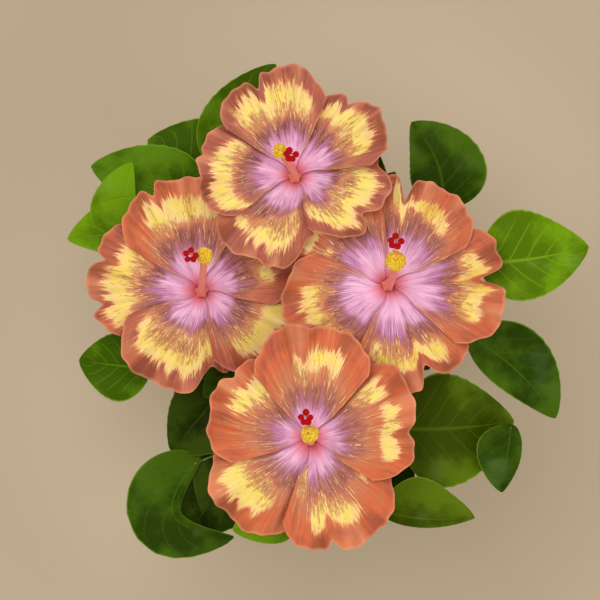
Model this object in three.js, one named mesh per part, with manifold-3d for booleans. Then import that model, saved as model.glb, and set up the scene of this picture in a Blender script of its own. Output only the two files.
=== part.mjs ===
// A small garden hibiscus, rooted in the ground: a short branched stem, eight
// masses of foliage and four wide blooms that face the sky.
// Millimetres, +Z up, +Y north, origin at the foot of the stem.
import * as THREE from 'three';
import { mergeVertices } from 'three/addons/utils/BufferGeometryUtils.js';
import Module from 'manifold-3d';

const wasm = await Module();
wasm.setup();

// ---------------------------------------------------------------- dimensions
const GAP = 0.3; // air between two pieces that meet
const FORK_HEIGHT = 92; // top of the trunk, where the boughs part
const FLARE_RADIUS = 15; // trunk at ground level
const TRUNK_RADIUS = 9.5; // trunk above its root flare
const FORK_RADIUS = 7.5; // trunk at its top
const FLARE_HEIGHT = 11; // the flare shrinks to a third over this height
const CROWN_HEIGHT = 6; // the trunk's rounded top
const CROWN_SHRINK = 0.45; // share of the radius lost there
const TRUNK_LEAN = [4, -3]; // how far the top stands off the foot
const TRUNK_SWAY = 2.5; // how far its middle bows to the east
const TRUNK_FOOT = -8; // where its axis starts, under the cut at ground level
const BOUGH_BEND = [[0.3, 0.2], [0.62, 0.48], [0.86, 0.78]]; // shares of the way out and up

const PETAL_THICKNESS = 1.2;
const PETAL_EYE = 4.5; // radius where the petals start, round the column
const THROAT_DEPTH = 26; // how far the petals' foot lies under the open disc
const THROAT_WIDTH = 11; // how fast the throat opens
const PETAL_OVERLAP = 3; // rise of an upper edge, drop of a lower one
const EDGE_LIFT = 2.6; // the same again, growing towards the rim
const PETAL_ROUNDNESS = 0.26; // share of its length lost at a petal's corners
const CLAW_ANGLE = 28; // half of a petal's angle in the throat

const COLUMN_RADIUS = 2.8; // staminal column
const COLUMN_FOOT = 3.9; // its flared foot
const ANTHER_HEIGHT = 52; // anther ball over the disc
const PAD_RADIUS = 2.9; // one stigma pad
const PAD_RING = 4.8; // circle that the five pads stand on
const PAD_RISE = 5; // their height over the ball of anthers
const STALK_LENGTH = 75; // throat down to the lower end of the flower stalk
const STALK_RADIUS = 2;
const CALYX_TOP = -27.6; // the cup's rim, under the petals' feet
const CALYX_PROFILE = [ // share of the way up, radius
  [0, STALK_RADIUS], [0.34, STALK_RADIUS], [0.5, 5.4], [0.67, 8.2], [0.84, 8.6], [1, 5.8],
];
const LOBE = { width: 4.4, foot: -37, rise: 17, start: 7.6, spread: 5.6, thickness: 0.9 };

const LEAF_THICKNESS = 1.2;
const TWIG_RADIUS = 1.6; // leaf stalk where it leaves its stem
const STEM_RADIUS = 3; // a mass's own stem at its lower end
const STEM_TIP = 1.2; // and a low mass's stem at its tip
const STEM_RUN = 14; // a stem first runs on in its bough's direction
const LOW_STEM = [[15, 36], [20, 68]]; // then out from the trunk and up

const BARK = { color: 0x7b6650, roughness: 0.9 };
const GREEN = { color: 0x4d7a2e, roughness: 0.5 };
const STALK = { color: 0x7f9a4a, roughness: 0.6 };

// The blooms. place: centre of the open disc. lean: degrees towards east and
// north. anthers and stigmas: their offset from the throat, as the column bends
// north. The petals go clockwise from the northern one. laps: 1 where a petal lies
// over the next one, -1 where it lies under it. angle: degrees anticlockwise from
// east. spread: half of a petal's angle. A petal's dents are notches at u across it,
// with u = -1 at its clockwise edge, and their depth is a share of its length.
const BLOOMS = {
  north: {
    place: [-4.4, 107.3, 362], lean: [0, 3], laps: [1, 1, 1, -1, -1], color: 0xb8606a,
    anthers: [-12, 12], stigmas: [-3.4, 8], ball: 6,
    petals: [
      { angle: 107, length: 93, spread: 40, dents: [{ at: 0.16, width: 0.08, depth: 0.15 }] },
      {
        angle: 43, length: 89, spread: 37,
        dents: [
          { at: 0.25, width: 0.08, depth: 0.1 },
          { at: 0.65, width: 0.35, depth: 0.13 },
        ],
      },
      {
        angle: -28, length: 79, spread: 48, skew: 0.12, ruffle: 3,
        dents: [
          { at: -0.05, width: 0.09, depth: 0.13 },
          { at: 0.72, width: 0.14, depth: 0.08 },
          { at: -0.75, width: 0.3, depth: 0.12 },
        ],
      },
      {
        angle: -119, length: 84, spread: 46, ruffle: 3,
        dents: [
          { at: 0.1, width: 0.12, depth: 0.06 },
          { at: 0.85, width: 0.2, depth: 0.22 },
        ],
      },
      { angle: 175, length: 83, spread: 41, dents: [{ at: -0.16, width: 0.06, depth: 0.05 }] },
    ],
  },
  west: {
    place: [-85.3, 8.4, 330], lean: [3, 2], laps: [1, 1, 1, 1, -1], color: 0xbe6455,
    anthers: [2.5, 27], stigmas: [-9.4, 26.4], ball: 6.8,
    petals: [
      { angle: 106, length: 101, spread: 44, dents: [{ at: 0.25, width: 0.06, depth: 0.1 }] },
      { angle: 32, length: 84, spread: 44, ruffle: 3 },
      { angle: -36, length: 83, spread: 44, ruffle: 3 },
      { angle: -113, length: 91, spread: 48, dents: [{ at: 0.62, width: 0.17, depth: 0.24 }] },
      {
        angle: 172, length: 99, spread: 42,
        dents: [
          { at: -0.23, width: 0.05, depth: 0.08 },
          { at: 0.38, width: 0.08, depth: 0.14 },
        ],
      },
    ],
  },
  east: {
    place: [77.8, 13.1, 346], lean: [3, 0], laps: [1, 1, 1, 1, 1], color: 0xcb6a4c,
    anthers: [-1.2, 19], stigmas: [-2.3, 35], ball: 8.2,
    petals: [
      { angle: 68, length: 96, spread: 42, dents: [{ at: 0.3, width: 0.08, depth: 0.24 }] },
      { angle: 0, length: 101, spread: 42, dents: [{ at: 0.09, width: 0.09, depth: 0.22 }] },
      { angle: -72, length: 94, spread: 46, dents: [{ at: 0.12, width: 0.1, depth: 0.2 }] },
      { angle: 203, length: 94, spread: 46, ruffle: 3 },
      { angle: 140, length: 93, spread: 44, ruffle: 3 },
    ],
  },
  south: {
    place: [8.5, -120.9, 367], lean: [0, -3], laps: [1, 1, 1, -1, -1], color: 0xcb6b4a,
    anthers: [-0.5, 14], stigmas: [-4, 29], ball: 7.2,
    petals: [
      { angle: 89, length: 100, spread: 40, ruffle: 4 },
      {
        angle: 13, length: 94, spread: 44, skew: 0.1, ruffle: 6,
        dents: [{ at: -0.14, width: 0.12, depth: 0.08 }],
      },
      { angle: -65, length: 96, spread: 44, dents: [{ at: -0.27, width: 0.06, depth: 0.07 }] },
      { angle: 222, length: 95, spread: 42, dents: [{ at: 0.8, width: 0.3, depth: 0.07 }] },
      {
        angle: 152, length: 91, spread: 42, ruffle: 4,
        dents: [{ at: -0.3, width: 0.07, depth: 0.05 }],
      },
    ],
  },
};

// The high boughs, each under its bloom. tip: end of the bough, where the
// mass's stem takes over. leave: height at which it parts from the trunk.
const HIGH_BOUGHS = {
  north: { tip: [-4, 78, 203], leave: 76, radius: 5 },
  west: { tip: [-66, 7, 190], leave: 82, radius: 4.8 },
  east: { tip: [60, 11, 196], leave: 70, radius: 4.8 },
  south: { tip: [7, -88, 205], leave: 64, radius: 5 },
};

// The low boughs stand between them. bearing: degrees anticlockwise from east.
const LOW_BOUGHS = {
  northeast: { bearing: 47, leave: 42, reach: 54, height: 106 },
  northwest: { bearing: 133, leave: 50, reach: 52, height: 112 },
  southwest: { bearing: 228, leave: 38, reach: 55, height: 104 },
  southeast: { bearing: 314, leave: 46, reach: 53, height: 110 },
};
const LOW_BOUGH_RADIUS = 3.4;

// The large leaves of the crown's rim, by the mass they belong to. base and tip:
// ends of the midrib. left and right: widest half of the blade on each side, seen
// from above. bow: how far the midrib bends to the right. fold: V of the blade.
// via: a point that the leaf's stalk passes on its way.
const RIM_LEAVES = {
  north: [
    { base: [-72, 113, 300], tip: [-22, 206, 316], left: 33, right: 30, bow: -3 },
    { base: [-81, 99, 250], tip: [-137, 145, 262], left: 30, right: 54, bow: 2 },
    { base: [64, 75, 296], tip: [67, 129, 316], left: 10, right: 10, bow: 2 },
    { base: [128, 80, 290], tip: [99, 157, 300], left: 27, right: 40, bow: 8 },
  ],
  west: [
    { base: [-90, 76, 262], tip: [-187, 120, 276], left: 27, right: 42, bow: 4 },
    { base: [-157, 53, 286], tip: [-149, 121, 300], left: 27, right: 12, bow: -4 },
    { base: [-119, 56, 292], tip: [-207, 54, 290], left: 19, right: 32, bow: 3 },
    { base: [-132, -62, 286], tip: [-198, -54, 280], left: 30, right: 30, fold: 0.5 },
    { base: [-44, -44, 290], tip: [-86, -87, 286], left: 16, right: 18 },
    { base: [-67, -77, 262], tip: [-117, -138, 258], left: 40, right: 31, wave: 4 },
  ],
  east: [
    { base: [88, -116, 272], tip: [193, -109, 270], left: 50, right: 52, bow: 2 },
    { base: [188, -110, 290], tip: [180, -172, 284], left: 11, right: 28, via: [172, -110, 258] },
    { base: [149, -31, 298], tip: [231, -107, 274], left: 36, right: 21, bow: -6 },
    { base: [158, 32, 302], tip: [254, 47, 308], left: 44, right: 35, bow: 3 },
  ],
  south: [
    { base: [-90, -141, 258], tip: [-60, -214, 266], left: 7, right: 41, bow: 42, wave: 4 },
    { base: [-57, -150, 240], tip: [-104, -216, 240], left: 35, right: 38 },
    { base: [-58, -112, 248], tip: [-86, -198, 246], left: 28, right: 27 },
    { base: [0, -188, 296], tip: [-60, -205, 290], left: 20, right: 23 },
    { base: [65, -125, 252], tip: [99, -182, 254], left: 24, right: 24 },
    { base: [70, -187, 294], tip: [156, -194, 288], left: 37, right: 7, bow: 4 },
  ],
};

// The seeded leaves: how many a stem tries, and the room that they keep to.
const LOW_LEAVES = 10;
const LOW_CEILING = 204; // low masses stay under this height
const LOW_FLOOR = 28;
const LOW_RADIUS = 152; // and inside this distance from the trunk
const LOW_SECTOR = 39; // degrees on each side of their bearing
const LOW_CLEAR = 24; // kept free round the trunk
const INNER_LEAVES = 9;
const INNER_FLOOR = 208; // leaves under a bloom stay over the low masses
const INNER_DROP = 62; // and this far under the bloom's disc
const INNER_RADIUS = 92; // and this near the bloom's own axis
const RIVAL_CLEAR = 8; // and nearer to it than to the next bloom's axis
const LEAF_STALK = [9, 19];
const GOLDEN = 0.618;

// ------------------------------------------------------------------- helpers
const radians = THREE.MathUtils.degToRad;
const smoothstep = THREE.MathUtils.smoothstep;
const UP = new THREE.Vector3(0, 0, 1);
const vector = (list) => new THREE.Vector3(...list);

// The same row of numbers in [0, 1) for the same seed.
function seeded(seed) {
  let state = seed;
  return () => {
    state = (state * 16807) % 2147483647;
    return state / 2147483647;
  };
}

// A closed three.js geometry as a solid.
function solidOf(geometry) {
  geometry.deleteAttribute('normal');
  geometry.deleteAttribute('uv');
  const merged = mergeVertices(geometry, 1e-4);
  return new wasm.Manifold(new wasm.Mesh({
    numProp: 3,
    vertProperties: Float32Array.from(merged.attributes.position.array),
    triVerts: Uint32Array.from(merged.index.array),
  }));
}

// A solid as a three.js geometry.
function geometryOf(solid) {
  const mesh = solid.getMesh();
  const geometry = new THREE.BufferGeometry();
  geometry.setAttribute('position', new THREE.BufferAttribute(mesh.vertProperties, 3));
  geometry.setIndex(new THREE.BufferAttribute(mesh.triVerts, 1));
  geometry.computeVertexNormals();
  return geometry;
}

// Moves every point of a geometry through place(point).
function bend(geometry, place) {
  const spots = geometry.attributes.position;
  const spot = new THREE.Vector3();
  for (let i = 0; i < spots.count; i += 1) {
    spot.fromBufferAttribute(spots, i);
    spots.setXYZ(i, ...place(spot));
  }
  return geometry;
}

// A blade of even thickness on surface(u, v), with u from -1 to 1 across it and
// v from 0 to 1 along it: a flat box that is bent onto the surface.
function blade(surface, thickness, across, along) {
  const step = 1e-3;
  const slope = (u, v) => {
    const easting = surface(Math.min(u + step, 1), v).sub(surface(Math.max(u - step, -1), v));
    const northing = surface(u, Math.min(v + step, 1)).sub(surface(u, Math.max(v - step, 0)));
    return easting.cross(northing).normalize();
  };
  return bend(new THREE.BoxGeometry(2, 1, 1, across, along, 1), (spot) => {
    const v = spot.y + 0.5;
    return surface(spot.x, v).addScaledVector(slope(spot.x, v), spot.z * thickness);
  });
}

// A limb of changing radius along the smooth curve through points: an upright
// cylinder that is bent onto the curve.
function limb(points, radiusAt, sides, steps) {
  const curve = new THREE.CatmullRomCurve3(points, false, 'centripetal');
  const frames = curve.computeFrenetFrames(steps);
  return bend(new THREE.CylinderGeometry(1, 1, 1, sides, steps), (spot) => {
    const along = spot.y + 0.5;
    const ring = Math.round(along * steps);
    const radius = radiusAt(along);
    return curve.getPointAt(along)
      .addScaledVector(frames.binormals[ring], spot.x * radius)
      .addScaledVector(frames.normals[ring], spot.z * radius);
  });
}

const taper = (from, to) => (along) => from + (to - from) * along;

// The value at x of the broken line through [x, y] pairs.
function follow(pairs, x) {
  const next = Math.max(1, pairs.findIndex((pair) => pair[0] >= x));
  const [x0, y0] = pairs[next - 1];
  const [x1, y1] = pairs[next];
  return y0 + (y1 - y0) * (x - x0) / (x1 - x0);
}

function join(solids) {
  return solids.reduce((whole, piece) => whole.add(piece));
}

function mesh(name, solid, look) {
  const piece = new THREE.Mesh(geometryOf(solid), new THREE.MeshStandardMaterial(look));
  piece.name = name;
  return piece;
}

// ------------------------------------------------------------ trunk and boughs
const trunkAxis = (height) => {
  const share = height / FORK_HEIGHT;
  const sway = TRUNK_SWAY * Math.sin(Math.PI * share);
  return new THREE.Vector3(TRUNK_LEAN[0] * share + sway, TRUNK_LEAN[1] * share, height);
};

function trunkRadius(height) {
  const flare = (FLARE_RADIUS - TRUNK_RADIUS) * Math.exp(-Math.max(height, 0) / FLARE_HEIGHT);
  const stem = TRUNK_RADIUS + (FORK_RADIUS - TRUNK_RADIUS) * height / FORK_HEIGHT;
  const crown = smoothstep(height, FORK_HEIGHT - CROWN_HEIGHT, FORK_HEIGHT);
  return (stem + flare) * (1 - CROWN_SHRINK * crown);
}

// The trunk starts under the ground and is cut flat at ground level.
function trunkSolid(swell) {
  const span = FORK_HEIGHT + swell - TRUNK_FOOT;
  const heightAt = (along) => TRUNK_FOOT + along * span;
  const points = [0, 0.2, 0.4, 0.6, 0.8, 1].map((along) => trunkAxis(heightAt(along)));
  const radius = (along) => trunkRadius(heightAt(along)) + swell;
  const ground = new THREE.BoxGeometry(100, 100, 200).translate(0, 0, 100);
  return solidOf(limb(points, radius, 12, 9)).intersect(solidOf(ground));
}

// Points from inside the trunk out and up to a tip, steepening on the way.
function boughPoints(leave, tip) {
  const start = trunkAxis(leave);
  const end = vector(tip);
  const way = end.clone().sub(start);
  const bends = BOUGH_BEND.map(([out, up]) => (
    start.clone().add(new THREE.Vector3(way.x * out, way.y * out, way.z * up))));
  return [start, ...bends, end];
}

function lowTip({ bearing, reach, height }) {
  const angle = radians(bearing);
  return [reach * Math.cos(angle), reach * Math.sin(angle), height];
}

// ------------------------------------------------------------------ the leaves
// The upper face of a leaf. Its midrib runs from base to tip, bows sideways and
// arches; the blade lies square across it and is broadest near its lower third.
function leafSurface(leaf) {
  const base = vector(leaf.base);
  const tip = vector(leaf.tip);
  const chord = tip.clone().sub(base);
  const right = chord.clone().cross(UP).normalize();
  const up = right.clone().cross(chord).normalize();
  const { bow = 0, arch = 0.06, fold = 0.16, wave = 2, phase = 0 } = leaf;
  const length = chord.length();
  return (u, v) => {
    const swell = Math.sin(Math.PI * v ** 0.72) ** 0.75;
    const half = (u < 0 ? leaf.left : leaf.right) * Math.max(swell, 0) + 0.7;
    const slope = bow * Math.PI * Math.cos(Math.PI * v) / length;
    const width = u * half / Math.hypot(1, slope);
    const side = bow * Math.sin(Math.PI * v) + width;
    const lift = arch * length * (Math.sin(Math.PI * v) - 0.9 * v * v)
      + fold * Math.abs(u) * half
      + wave * u * u * Math.sin(5 * v + 2 * u + phase) * swell;
    return base.clone()
      .addScaledVector(chord, v - slope * width / length)
      .addScaledVector(right, side)
      .addScaledVector(up, lift);
  };
}

// A leaf with the stalk that carries it from its stem.
function leafSolid(leaf, root, across, along) {
  const inside = leafSurface(leaf)(0, 0.06);
  const middle = leaf.via ? vector(leaf.via) : root.clone().lerp(inside, 0.5);
  middle.z -= leaf.via ? 0 : 0.08 * root.distanceTo(inside);
  const stalk = limb([root, middle, inside], taper(TWIG_RADIUS, 0.5), 3, along - 1);
  return solidOf(blade(leafSurface(leaf), LEAF_THICKNESS, across, along)).add(solidOf(stalk));
}

// Whether every edge point of a leaf lies in a mass's own space.
function keepsIn(leaf, space) {
  const surface = leafSurface(leaf);
  const spots = [0, 0.15, 0.3, 0.5, 0.7, 0.85, 1];
  return spots.every((v) => [-1, 0, 1].every((u) => space(surface(u, v))));
}

// Leaves set up a stem, tried one by one: those that would leave the space are
// skipped. The golden ratio deals their bearings out evenly over a fan.
function seededLeaves({ curve, count, from, to, seed, size, pitch, centre, fan, space }) {
  const random = seeded(seed);
  const start = random();
  const between = ([low, high]) => low + (high - low) * random();
  const grown = [];
  for (let i = 0; i < count; i += 1) {
    const root = curve.getPointAt(from + (to - from) * i / (count - 1));
    const turn = (start + i * GOLDEN) % 1;
    const angle = radians(centre + fan * (2 * turn - 1));
    const climb = radians(between(pitch));
    const length = between(size);
    const heading = new THREE.Vector3(
      Math.cos(angle) * Math.cos(climb),
      Math.sin(angle) * Math.cos(climb),
      Math.sin(climb),
    );
    const base = root.clone().addScaledVector(heading, between(LEAF_STALK));
    const tip = base.clone().addScaledVector(heading, length);
    const half = length * between([0.3, 0.36]);
    const leaf = {
      base: base.toArray(), tip: tip.toArray(), left: half, right: half, arch: 0.12, phase: i,
    };
    if (keepsIn(leaf, space)) {
      grown.push({ leaf, root });
    }
  }
  return grown;
}

// ------------------------------------------------------------------- the masses
const bloomFrame = (bloom) => {
  const frame = new THREE.Object3D();
  frame.position.set(...bloom.place);
  frame.rotation.set(radians(-bloom.lean[1]), radians(bloom.lean[0]), 0);
  frame.updateMatrix();
  return frame;
};

// The stem of a high mass: from its bough's tip up to the flower's stalk.
function highStem(name) {
  const frame = bloomFrame(BLOOMS[name]);
  const top = (depth) => new THREE.Vector3(0, 0, -depth).applyMatrix4(frame.matrix);
  const points = boughPoints(HIGH_BOUGHS[name].leave, HIGH_BOUGHS[name].tip);
  const bough = new THREE.CatmullRomCurve3(points, false, 'centripetal');
  const tip = bough.getPoint(1);
  const heading = bough.getTangent(1);
  return [
    tip.clone().addScaledVector(heading, GAP),
    tip.clone().addScaledVector(heading, STEM_RUN),
    top(STALK_LENGTH + 22),
    top(STALK_LENGTH + GAP),
  ];
}

function highMass(name, seed) {
  const stem = highStem(name);
  const curve = new THREE.CatmullRomCurve3(stem, false, 'centripetal');
  const centre = vector(BLOOMS[name].place);
  const rivals = Object.values(BLOOMS).filter((bloom) => bloom !== BLOOMS[name]);
  const space = (spot) => {
    const away = Math.hypot(spot.x - centre.x, spot.y - centre.y);
    const apart = rivals.every(({ place }) => (
      Math.hypot(spot.x - place[0], spot.y - place[1]) > away + RIVAL_CLEAR));
    return spot.z > INNER_FLOOR && spot.z < centre.z - INNER_DROP && away < INNER_RADIUS && apart;
  };
  const inner = seededLeaves({
    curve,
    count: INNER_LEAVES,
    from: 0.1,
    to: 0.8,
    seed,
    size: [46, 64],
    pitch: [-6, 18],
    centre: 0,
    fan: 180,
    space,
  });
  const solids = [solidOf(limb(stem, taper(STEM_RADIUS, STALK_RADIUS), 5, 5))];
  for (const { leaf, root } of inner) {
    solids.push(leafSolid(leaf, root, 2, 3));
  }
  RIM_LEAVES[name].forEach((leaf, index) => {
    const share = 0.45 + 0.4 * index / RIM_LEAVES[name].length;
    solids.push(leafSolid({ ...leaf, phase: index }, curve.getPointAt(share), 4, 4));
  });
  return join(solids);
}

function lowMass(name, seed) {
  const bough = LOW_BOUGHS[name];
  const points = boughPoints(bough.leave, lowTip(bough));
  const limbCurve = new THREE.CatmullRomCurve3(points, false, 'centripetal');
  const tip = limbCurve.getPoint(1);
  const heading = limbCurve.getTangent(1);
  const outward = new THREE.Vector3(tip.x, tip.y, 0).normalize();
  const stem = [
    tip.clone().addScaledVector(heading, GAP),
    tip.clone().addScaledVector(heading, STEM_RUN),
    ...LOW_STEM.map(([out, up]) => (
      tip.clone().addScaledVector(outward, out).addScaledVector(UP, up))),
  ];
  const curve = new THREE.CatmullRomCurve3(stem, false, 'centripetal');
  const space = (spot) => {
    const turn = THREE.MathUtils.radToDeg(Math.atan2(spot.y, spot.x)) - bough.bearing;
    const off = Math.abs(((turn + 540) % 360) - 180);
    const away = Math.hypot(spot.x, spot.y);
    return spot.z > LOW_FLOOR && spot.z < LOW_CEILING && away < LOW_RADIUS
      && off < LOW_SECTOR && away > LOW_CLEAR;
  };
  const leaves = seededLeaves({
    curve,
    count: LOW_LEAVES,
    from: 0.04,
    to: 0.98,
    seed,
    size: [44, 62],
    pitch: [-38, 26],
    centre: bough.bearing,
    fan: 100,
    space,
  });
  const solids = [solidOf(limb(stem, taper(STEM_RADIUS, STEM_TIP), 5, 4))];
  for (const { leaf, root } of leaves) {
    solids.push(leafSolid(leaf, root, 2, 3));
  }
  return join(solids);
}

// -------------------------------------------------------------------- the blooms
const throat = (radius) => -THROAT_DEPTH * Math.exp(-(radius - PETAL_EYE) / THROAT_WIDTH);

// Half of a petal's angle: narrow in the throat, wider than its share outside.
const halfAngle = (petal, radius) => (
  radians(CLAW_ANGLE + (petal.spread - CLAW_ANGLE) * smoothstep(radius, 12, 40)));

// How far a petal reaches at u across it.
function petalReach({ length, skew = 0, dents = [] }, u) {
  const rounded = 1 - PETAL_ROUNDNESS * Math.abs(u) ** 3.4;
  const dented = dents.reduce((sum, { at, width, depth }) => (
    sum - depth * Math.exp(-(((u - at) / width) ** 2))), 1);
  return length * rounded * dented * (1 + skew * u);
}

// A petal that points along +X: a funnel that opens into a ruffled fan. Each edge
// is raised over the neighbour (1) or lowered under it (-1), as edges says for the
// clockwise and the anticlockwise one.
function petalSurface(petal, index, edges) {
  const { ruffle = 5, curl = -5 } = petal;
  return (u, v) => {
    const reach = petalReach(petal, u);
    const radius = PETAL_EYE + (reach - PETAL_EYE) * v ** 1.5;
    const angle = halfAngle(petal, radius) * u;
    const outer = (radius / petal.length) ** 2.5;
    const side = u < 0 ? edges[0] : edges[1];
    const free = 1 - smoothstep(Math.abs(u), 0.35, 0.75);
    const waves = Math.sin(6.3 * u + 1.9 * index) + 0.6 * Math.sin(9.4 * u + 3.1 * index);
    const height = throat(radius)
      + side * PETAL_OVERLAP * u * u * smoothstep(radius, 5, 14)
      + side * EDGE_LIFT * outer * smoothstep(Math.abs(u), 0.4, 1)
      + outer * (ruffle * waves * (0.2 + 0.8 * free) + curl * outer);
    return new THREE.Vector3(radius * Math.cos(angle), radius * Math.sin(angle), height);
  };
}

function columnSolid(bloom, swell) {
  const [east, north] = bloom.anthers;
  const points = [
    new THREE.Vector3(0, 0, -THROAT_DEPTH - 1),
    new THREE.Vector3(0, 0, -8),
    new THREE.Vector3(east * 0.4, north * 0.4, 24),
    new THREE.Vector3(east, north, ANTHER_HEIGHT + swell),
  ];
  const profile = [[0, COLUMN_FOOT], [0.2, COLUMN_RADIUS + 0.3], [1, COLUMN_RADIUS]];
  return solidOf(limb(points, (along) => follow(profile, along) + swell, 6, 5));
}

function antherSolid(bloom) {
  const ball = new THREE.SphereGeometry(bloom.ball, 8, 5);
  ball.translate(...bloom.anthers, ANTHER_HEIGHT);
  return solidOf(ball).subtract(columnSolid(bloom, GAP));
}

// Five round pads, each on its own branch of the style.
function stigmaSolid(bloom) {
  const ball = new THREE.Vector3(...bloom.anthers, ANTHER_HEIGHT);
  const centre = new THREE.Vector3(...bloom.stigmas, ANTHER_HEIGHT + bloom.ball + PAD_RISE);
  const heading = centre.clone().sub(ball).normalize();
  const root = ball.clone().addScaledVector(heading, bloom.ball + GAP);
  const fork = root.clone().lerp(centre, 0.35);
  const solids = [solidOf(limb([root, fork], taper(0.9, 1.1), 5, 1))];
  for (let i = 0; i < 5; i += 1) {
    const angle = radians(18 + 72 * i);
    const pad = centre.clone();
    pad.x += PAD_RING * Math.cos(angle);
    pad.y += PAD_RING * Math.sin(angle);
    const round = new THREE.SphereGeometry(PAD_RADIUS, 5, 3).scale(1, 1, 0.7);
    solids.push(solidOf(limb([fork.clone().lerp(root, 0.2), pad], taper(0.8, 0.7), 3, 1)));
    solids.push(solidOf(round.translate(...pad)));
  }
  return join(solids);
}

// The calyx on its stalk, with five pointed lobes under the petals' feet.
function calyxSolid() {
  const points = [0, 1 / 3, 2 / 3, 1].map((share) => (
    new THREE.Vector3(0, 0, THREE.MathUtils.lerp(-STALK_LENGTH, CALYX_TOP, share))));
  const solids = [solidOf(limb(points, (along) => follow(CALYX_PROFILE, along), 7, 6))];
  for (let i = 0; i < 5; i += 1) {
    const lobe = (u, v) => {
      const half = LOBE.width * (1 - v) ** 0.8 + 0.5;
      const radius = LOBE.start + LOBE.spread * v;
      const turn = radians(72 * i + 36) + u * half / radius;
      return new THREE.Vector3(
        radius * Math.cos(turn), radius * Math.sin(turn), LOBE.foot + LOBE.rise * v);
    };
    solids.push(solidOf(blade(lobe, LOBE.thickness, 1, 1)));
  }
  return join(solids);
}

function bloomGroup(name) {
  const bloom = BLOOMS[name];
  const group = bloomFrame(bloom);
  bloom.petals.forEach((petal, index) => {
    const edges = [bloom.laps[index], -bloom.laps[(index + 4) % 5]];
    const surface = petalSurface(petal, index, edges);
    const solid = solidOf(blade(surface, PETAL_THICKNESS, 8, 4));
    const look = { color: bloom.color, roughness: 0.55 };
    const piece = mesh(`bloom_${name}_petal_${index + 1}`, solid, look);
    piece.rotation.z = radians(petal.angle);
    group.add(piece);
  });
  const rose = { color: 0xd9707a, roughness: 0.6 };
  const gold = { color: 0xe0a528, roughness: 0.8 };
  const red = { color: 0xc80a14, roughness: 0.7 };
  group.add(mesh(`bloom_${name}_column`, columnSolid(bloom, 0), rose));
  group.add(mesh(`bloom_${name}_anthers`, antherSolid(bloom), gold));
  group.add(mesh(`bloom_${name}_stigmas`, stigmaSolid(bloom), red));
  group.add(mesh(`bloom_${name}_calyx`, calyxSolid(), STALK));
  return group;
}

// ------------------------------------------------------------------ the assembly
const shrub = new THREE.Group();
shrub.add(mesh('trunk', trunkSolid(0), BARK));

let cutters = trunkSolid(GAP);
function addBough(name, points, radius) {
  const body = (swell) => {
    const size = (along) => taper(radius, STEM_RADIUS)(along) + swell;
    return solidOf(limb(points, size, 6, 6));
  };
  shrub.add(mesh(name, body(0).subtract(cutters), BARK));
  cutters = cutters.add(body(GAP));
}
for (const [name, bough] of Object.entries(HIGH_BOUGHS)) {
  addBough(`bough_${name}`, boughPoints(bough.leave, bough.tip), bough.radius);
}
for (const [name, bough] of Object.entries(LOW_BOUGHS)) {
  addBough(`bough_low_${name}`, boughPoints(bough.leave, lowTip(bough)), LOW_BOUGH_RADIUS);
}

Object.keys(BLOOMS).forEach((name, index) => {
  shrub.add(mesh(`foliage_${name}`, highMass(name, 31 + 17 * index), GREEN));
  shrub.add(bloomGroup(name));
});
Object.keys(LOW_BOUGHS).forEach((name, index) => {
  shrub.add(mesh(`foliage_low_${name}`, lowMass(name, 5 + 23 * index), GREEN));
});

export default shrub;
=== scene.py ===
"""A garden hibiscus in bloom, dressed over its plain solids.

A Blender add-on that is run as a script. It loads the shrub's solids and stands
finer pieces in their place: bark, twigs, leaves and four wide blooms that face
the sky. Tables are in millimetres and degrees, the scene is in metres, +Z is up
and +Y is north.
"""

import math

import bmesh
import bpy
import numpy as np
from bpy.props import FloatProperty, FloatVectorProperty, IntProperty, PointerProperty
from mathutils import Matrix, Vector, noise


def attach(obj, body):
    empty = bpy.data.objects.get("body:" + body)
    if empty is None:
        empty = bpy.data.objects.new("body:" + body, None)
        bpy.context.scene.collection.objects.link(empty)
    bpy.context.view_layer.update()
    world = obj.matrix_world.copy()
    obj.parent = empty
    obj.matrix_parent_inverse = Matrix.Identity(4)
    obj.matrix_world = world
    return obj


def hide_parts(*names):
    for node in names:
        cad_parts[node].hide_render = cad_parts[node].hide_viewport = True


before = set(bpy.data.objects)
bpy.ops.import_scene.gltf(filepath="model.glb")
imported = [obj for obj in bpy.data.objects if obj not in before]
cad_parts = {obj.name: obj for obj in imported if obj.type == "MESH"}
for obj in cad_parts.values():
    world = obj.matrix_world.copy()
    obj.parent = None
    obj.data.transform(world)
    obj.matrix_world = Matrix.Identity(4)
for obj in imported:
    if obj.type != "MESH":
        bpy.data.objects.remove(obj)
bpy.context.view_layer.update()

bl_info = {
    "name": "Garden hibiscus",
    "version": (1, 0, 0),
    "blender": (4, 5, 0),
    "location": "View3D > Sidebar > Hibiscus",
    "description": "Dresses the solids of a small hibiscus shrub with bark, leaves and blooms",
    "category": "Object",
}

# ------------------------------------------------------------------ dimensions
MM = 0.001

FORK_HEIGHT = 92  # top of the trunk, where the boughs part
FLARE_RADIUS = 15  # the trunk at ground level
TRUNK_RADIUS = 9.5  # above its flare
FORK_RADIUS = 7.5  # and at its top
FLARE_HEIGHT = 11  # the flare shrinks to a third over this height
CROWN_HEIGHT = 6  # the trunk's rounded top
CROWN_SHRINK = 0.45  # share of the radius lost there
TRUNK_LEAN = (4, -3)  # how far the top stands off the foot
TRUNK_SWAY = 2.5  # how far its middle bows to the east
TRUNK_FOOT = -8  # where its axis starts, under the cut at ground level
TRUNK_STOPS = (TRUNK_FOOT, 4, 22, 40, 60, 80, FORK_HEIGHT)  # heights that the axis passes
ROOT_LOBES = 5  # ribs of the root flare
RIB_DEPTH = 0.13
RIB_HEIGHT = 16
BOUGH_BEND = ((0, 0), (0.3, 0.2), (0.62, 0.48), (0.86, 0.78), (1, 1))  # shares of the way out, up
COLLAR_SWELL = 0.35  # share that a bough is thicker by where it parts
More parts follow.
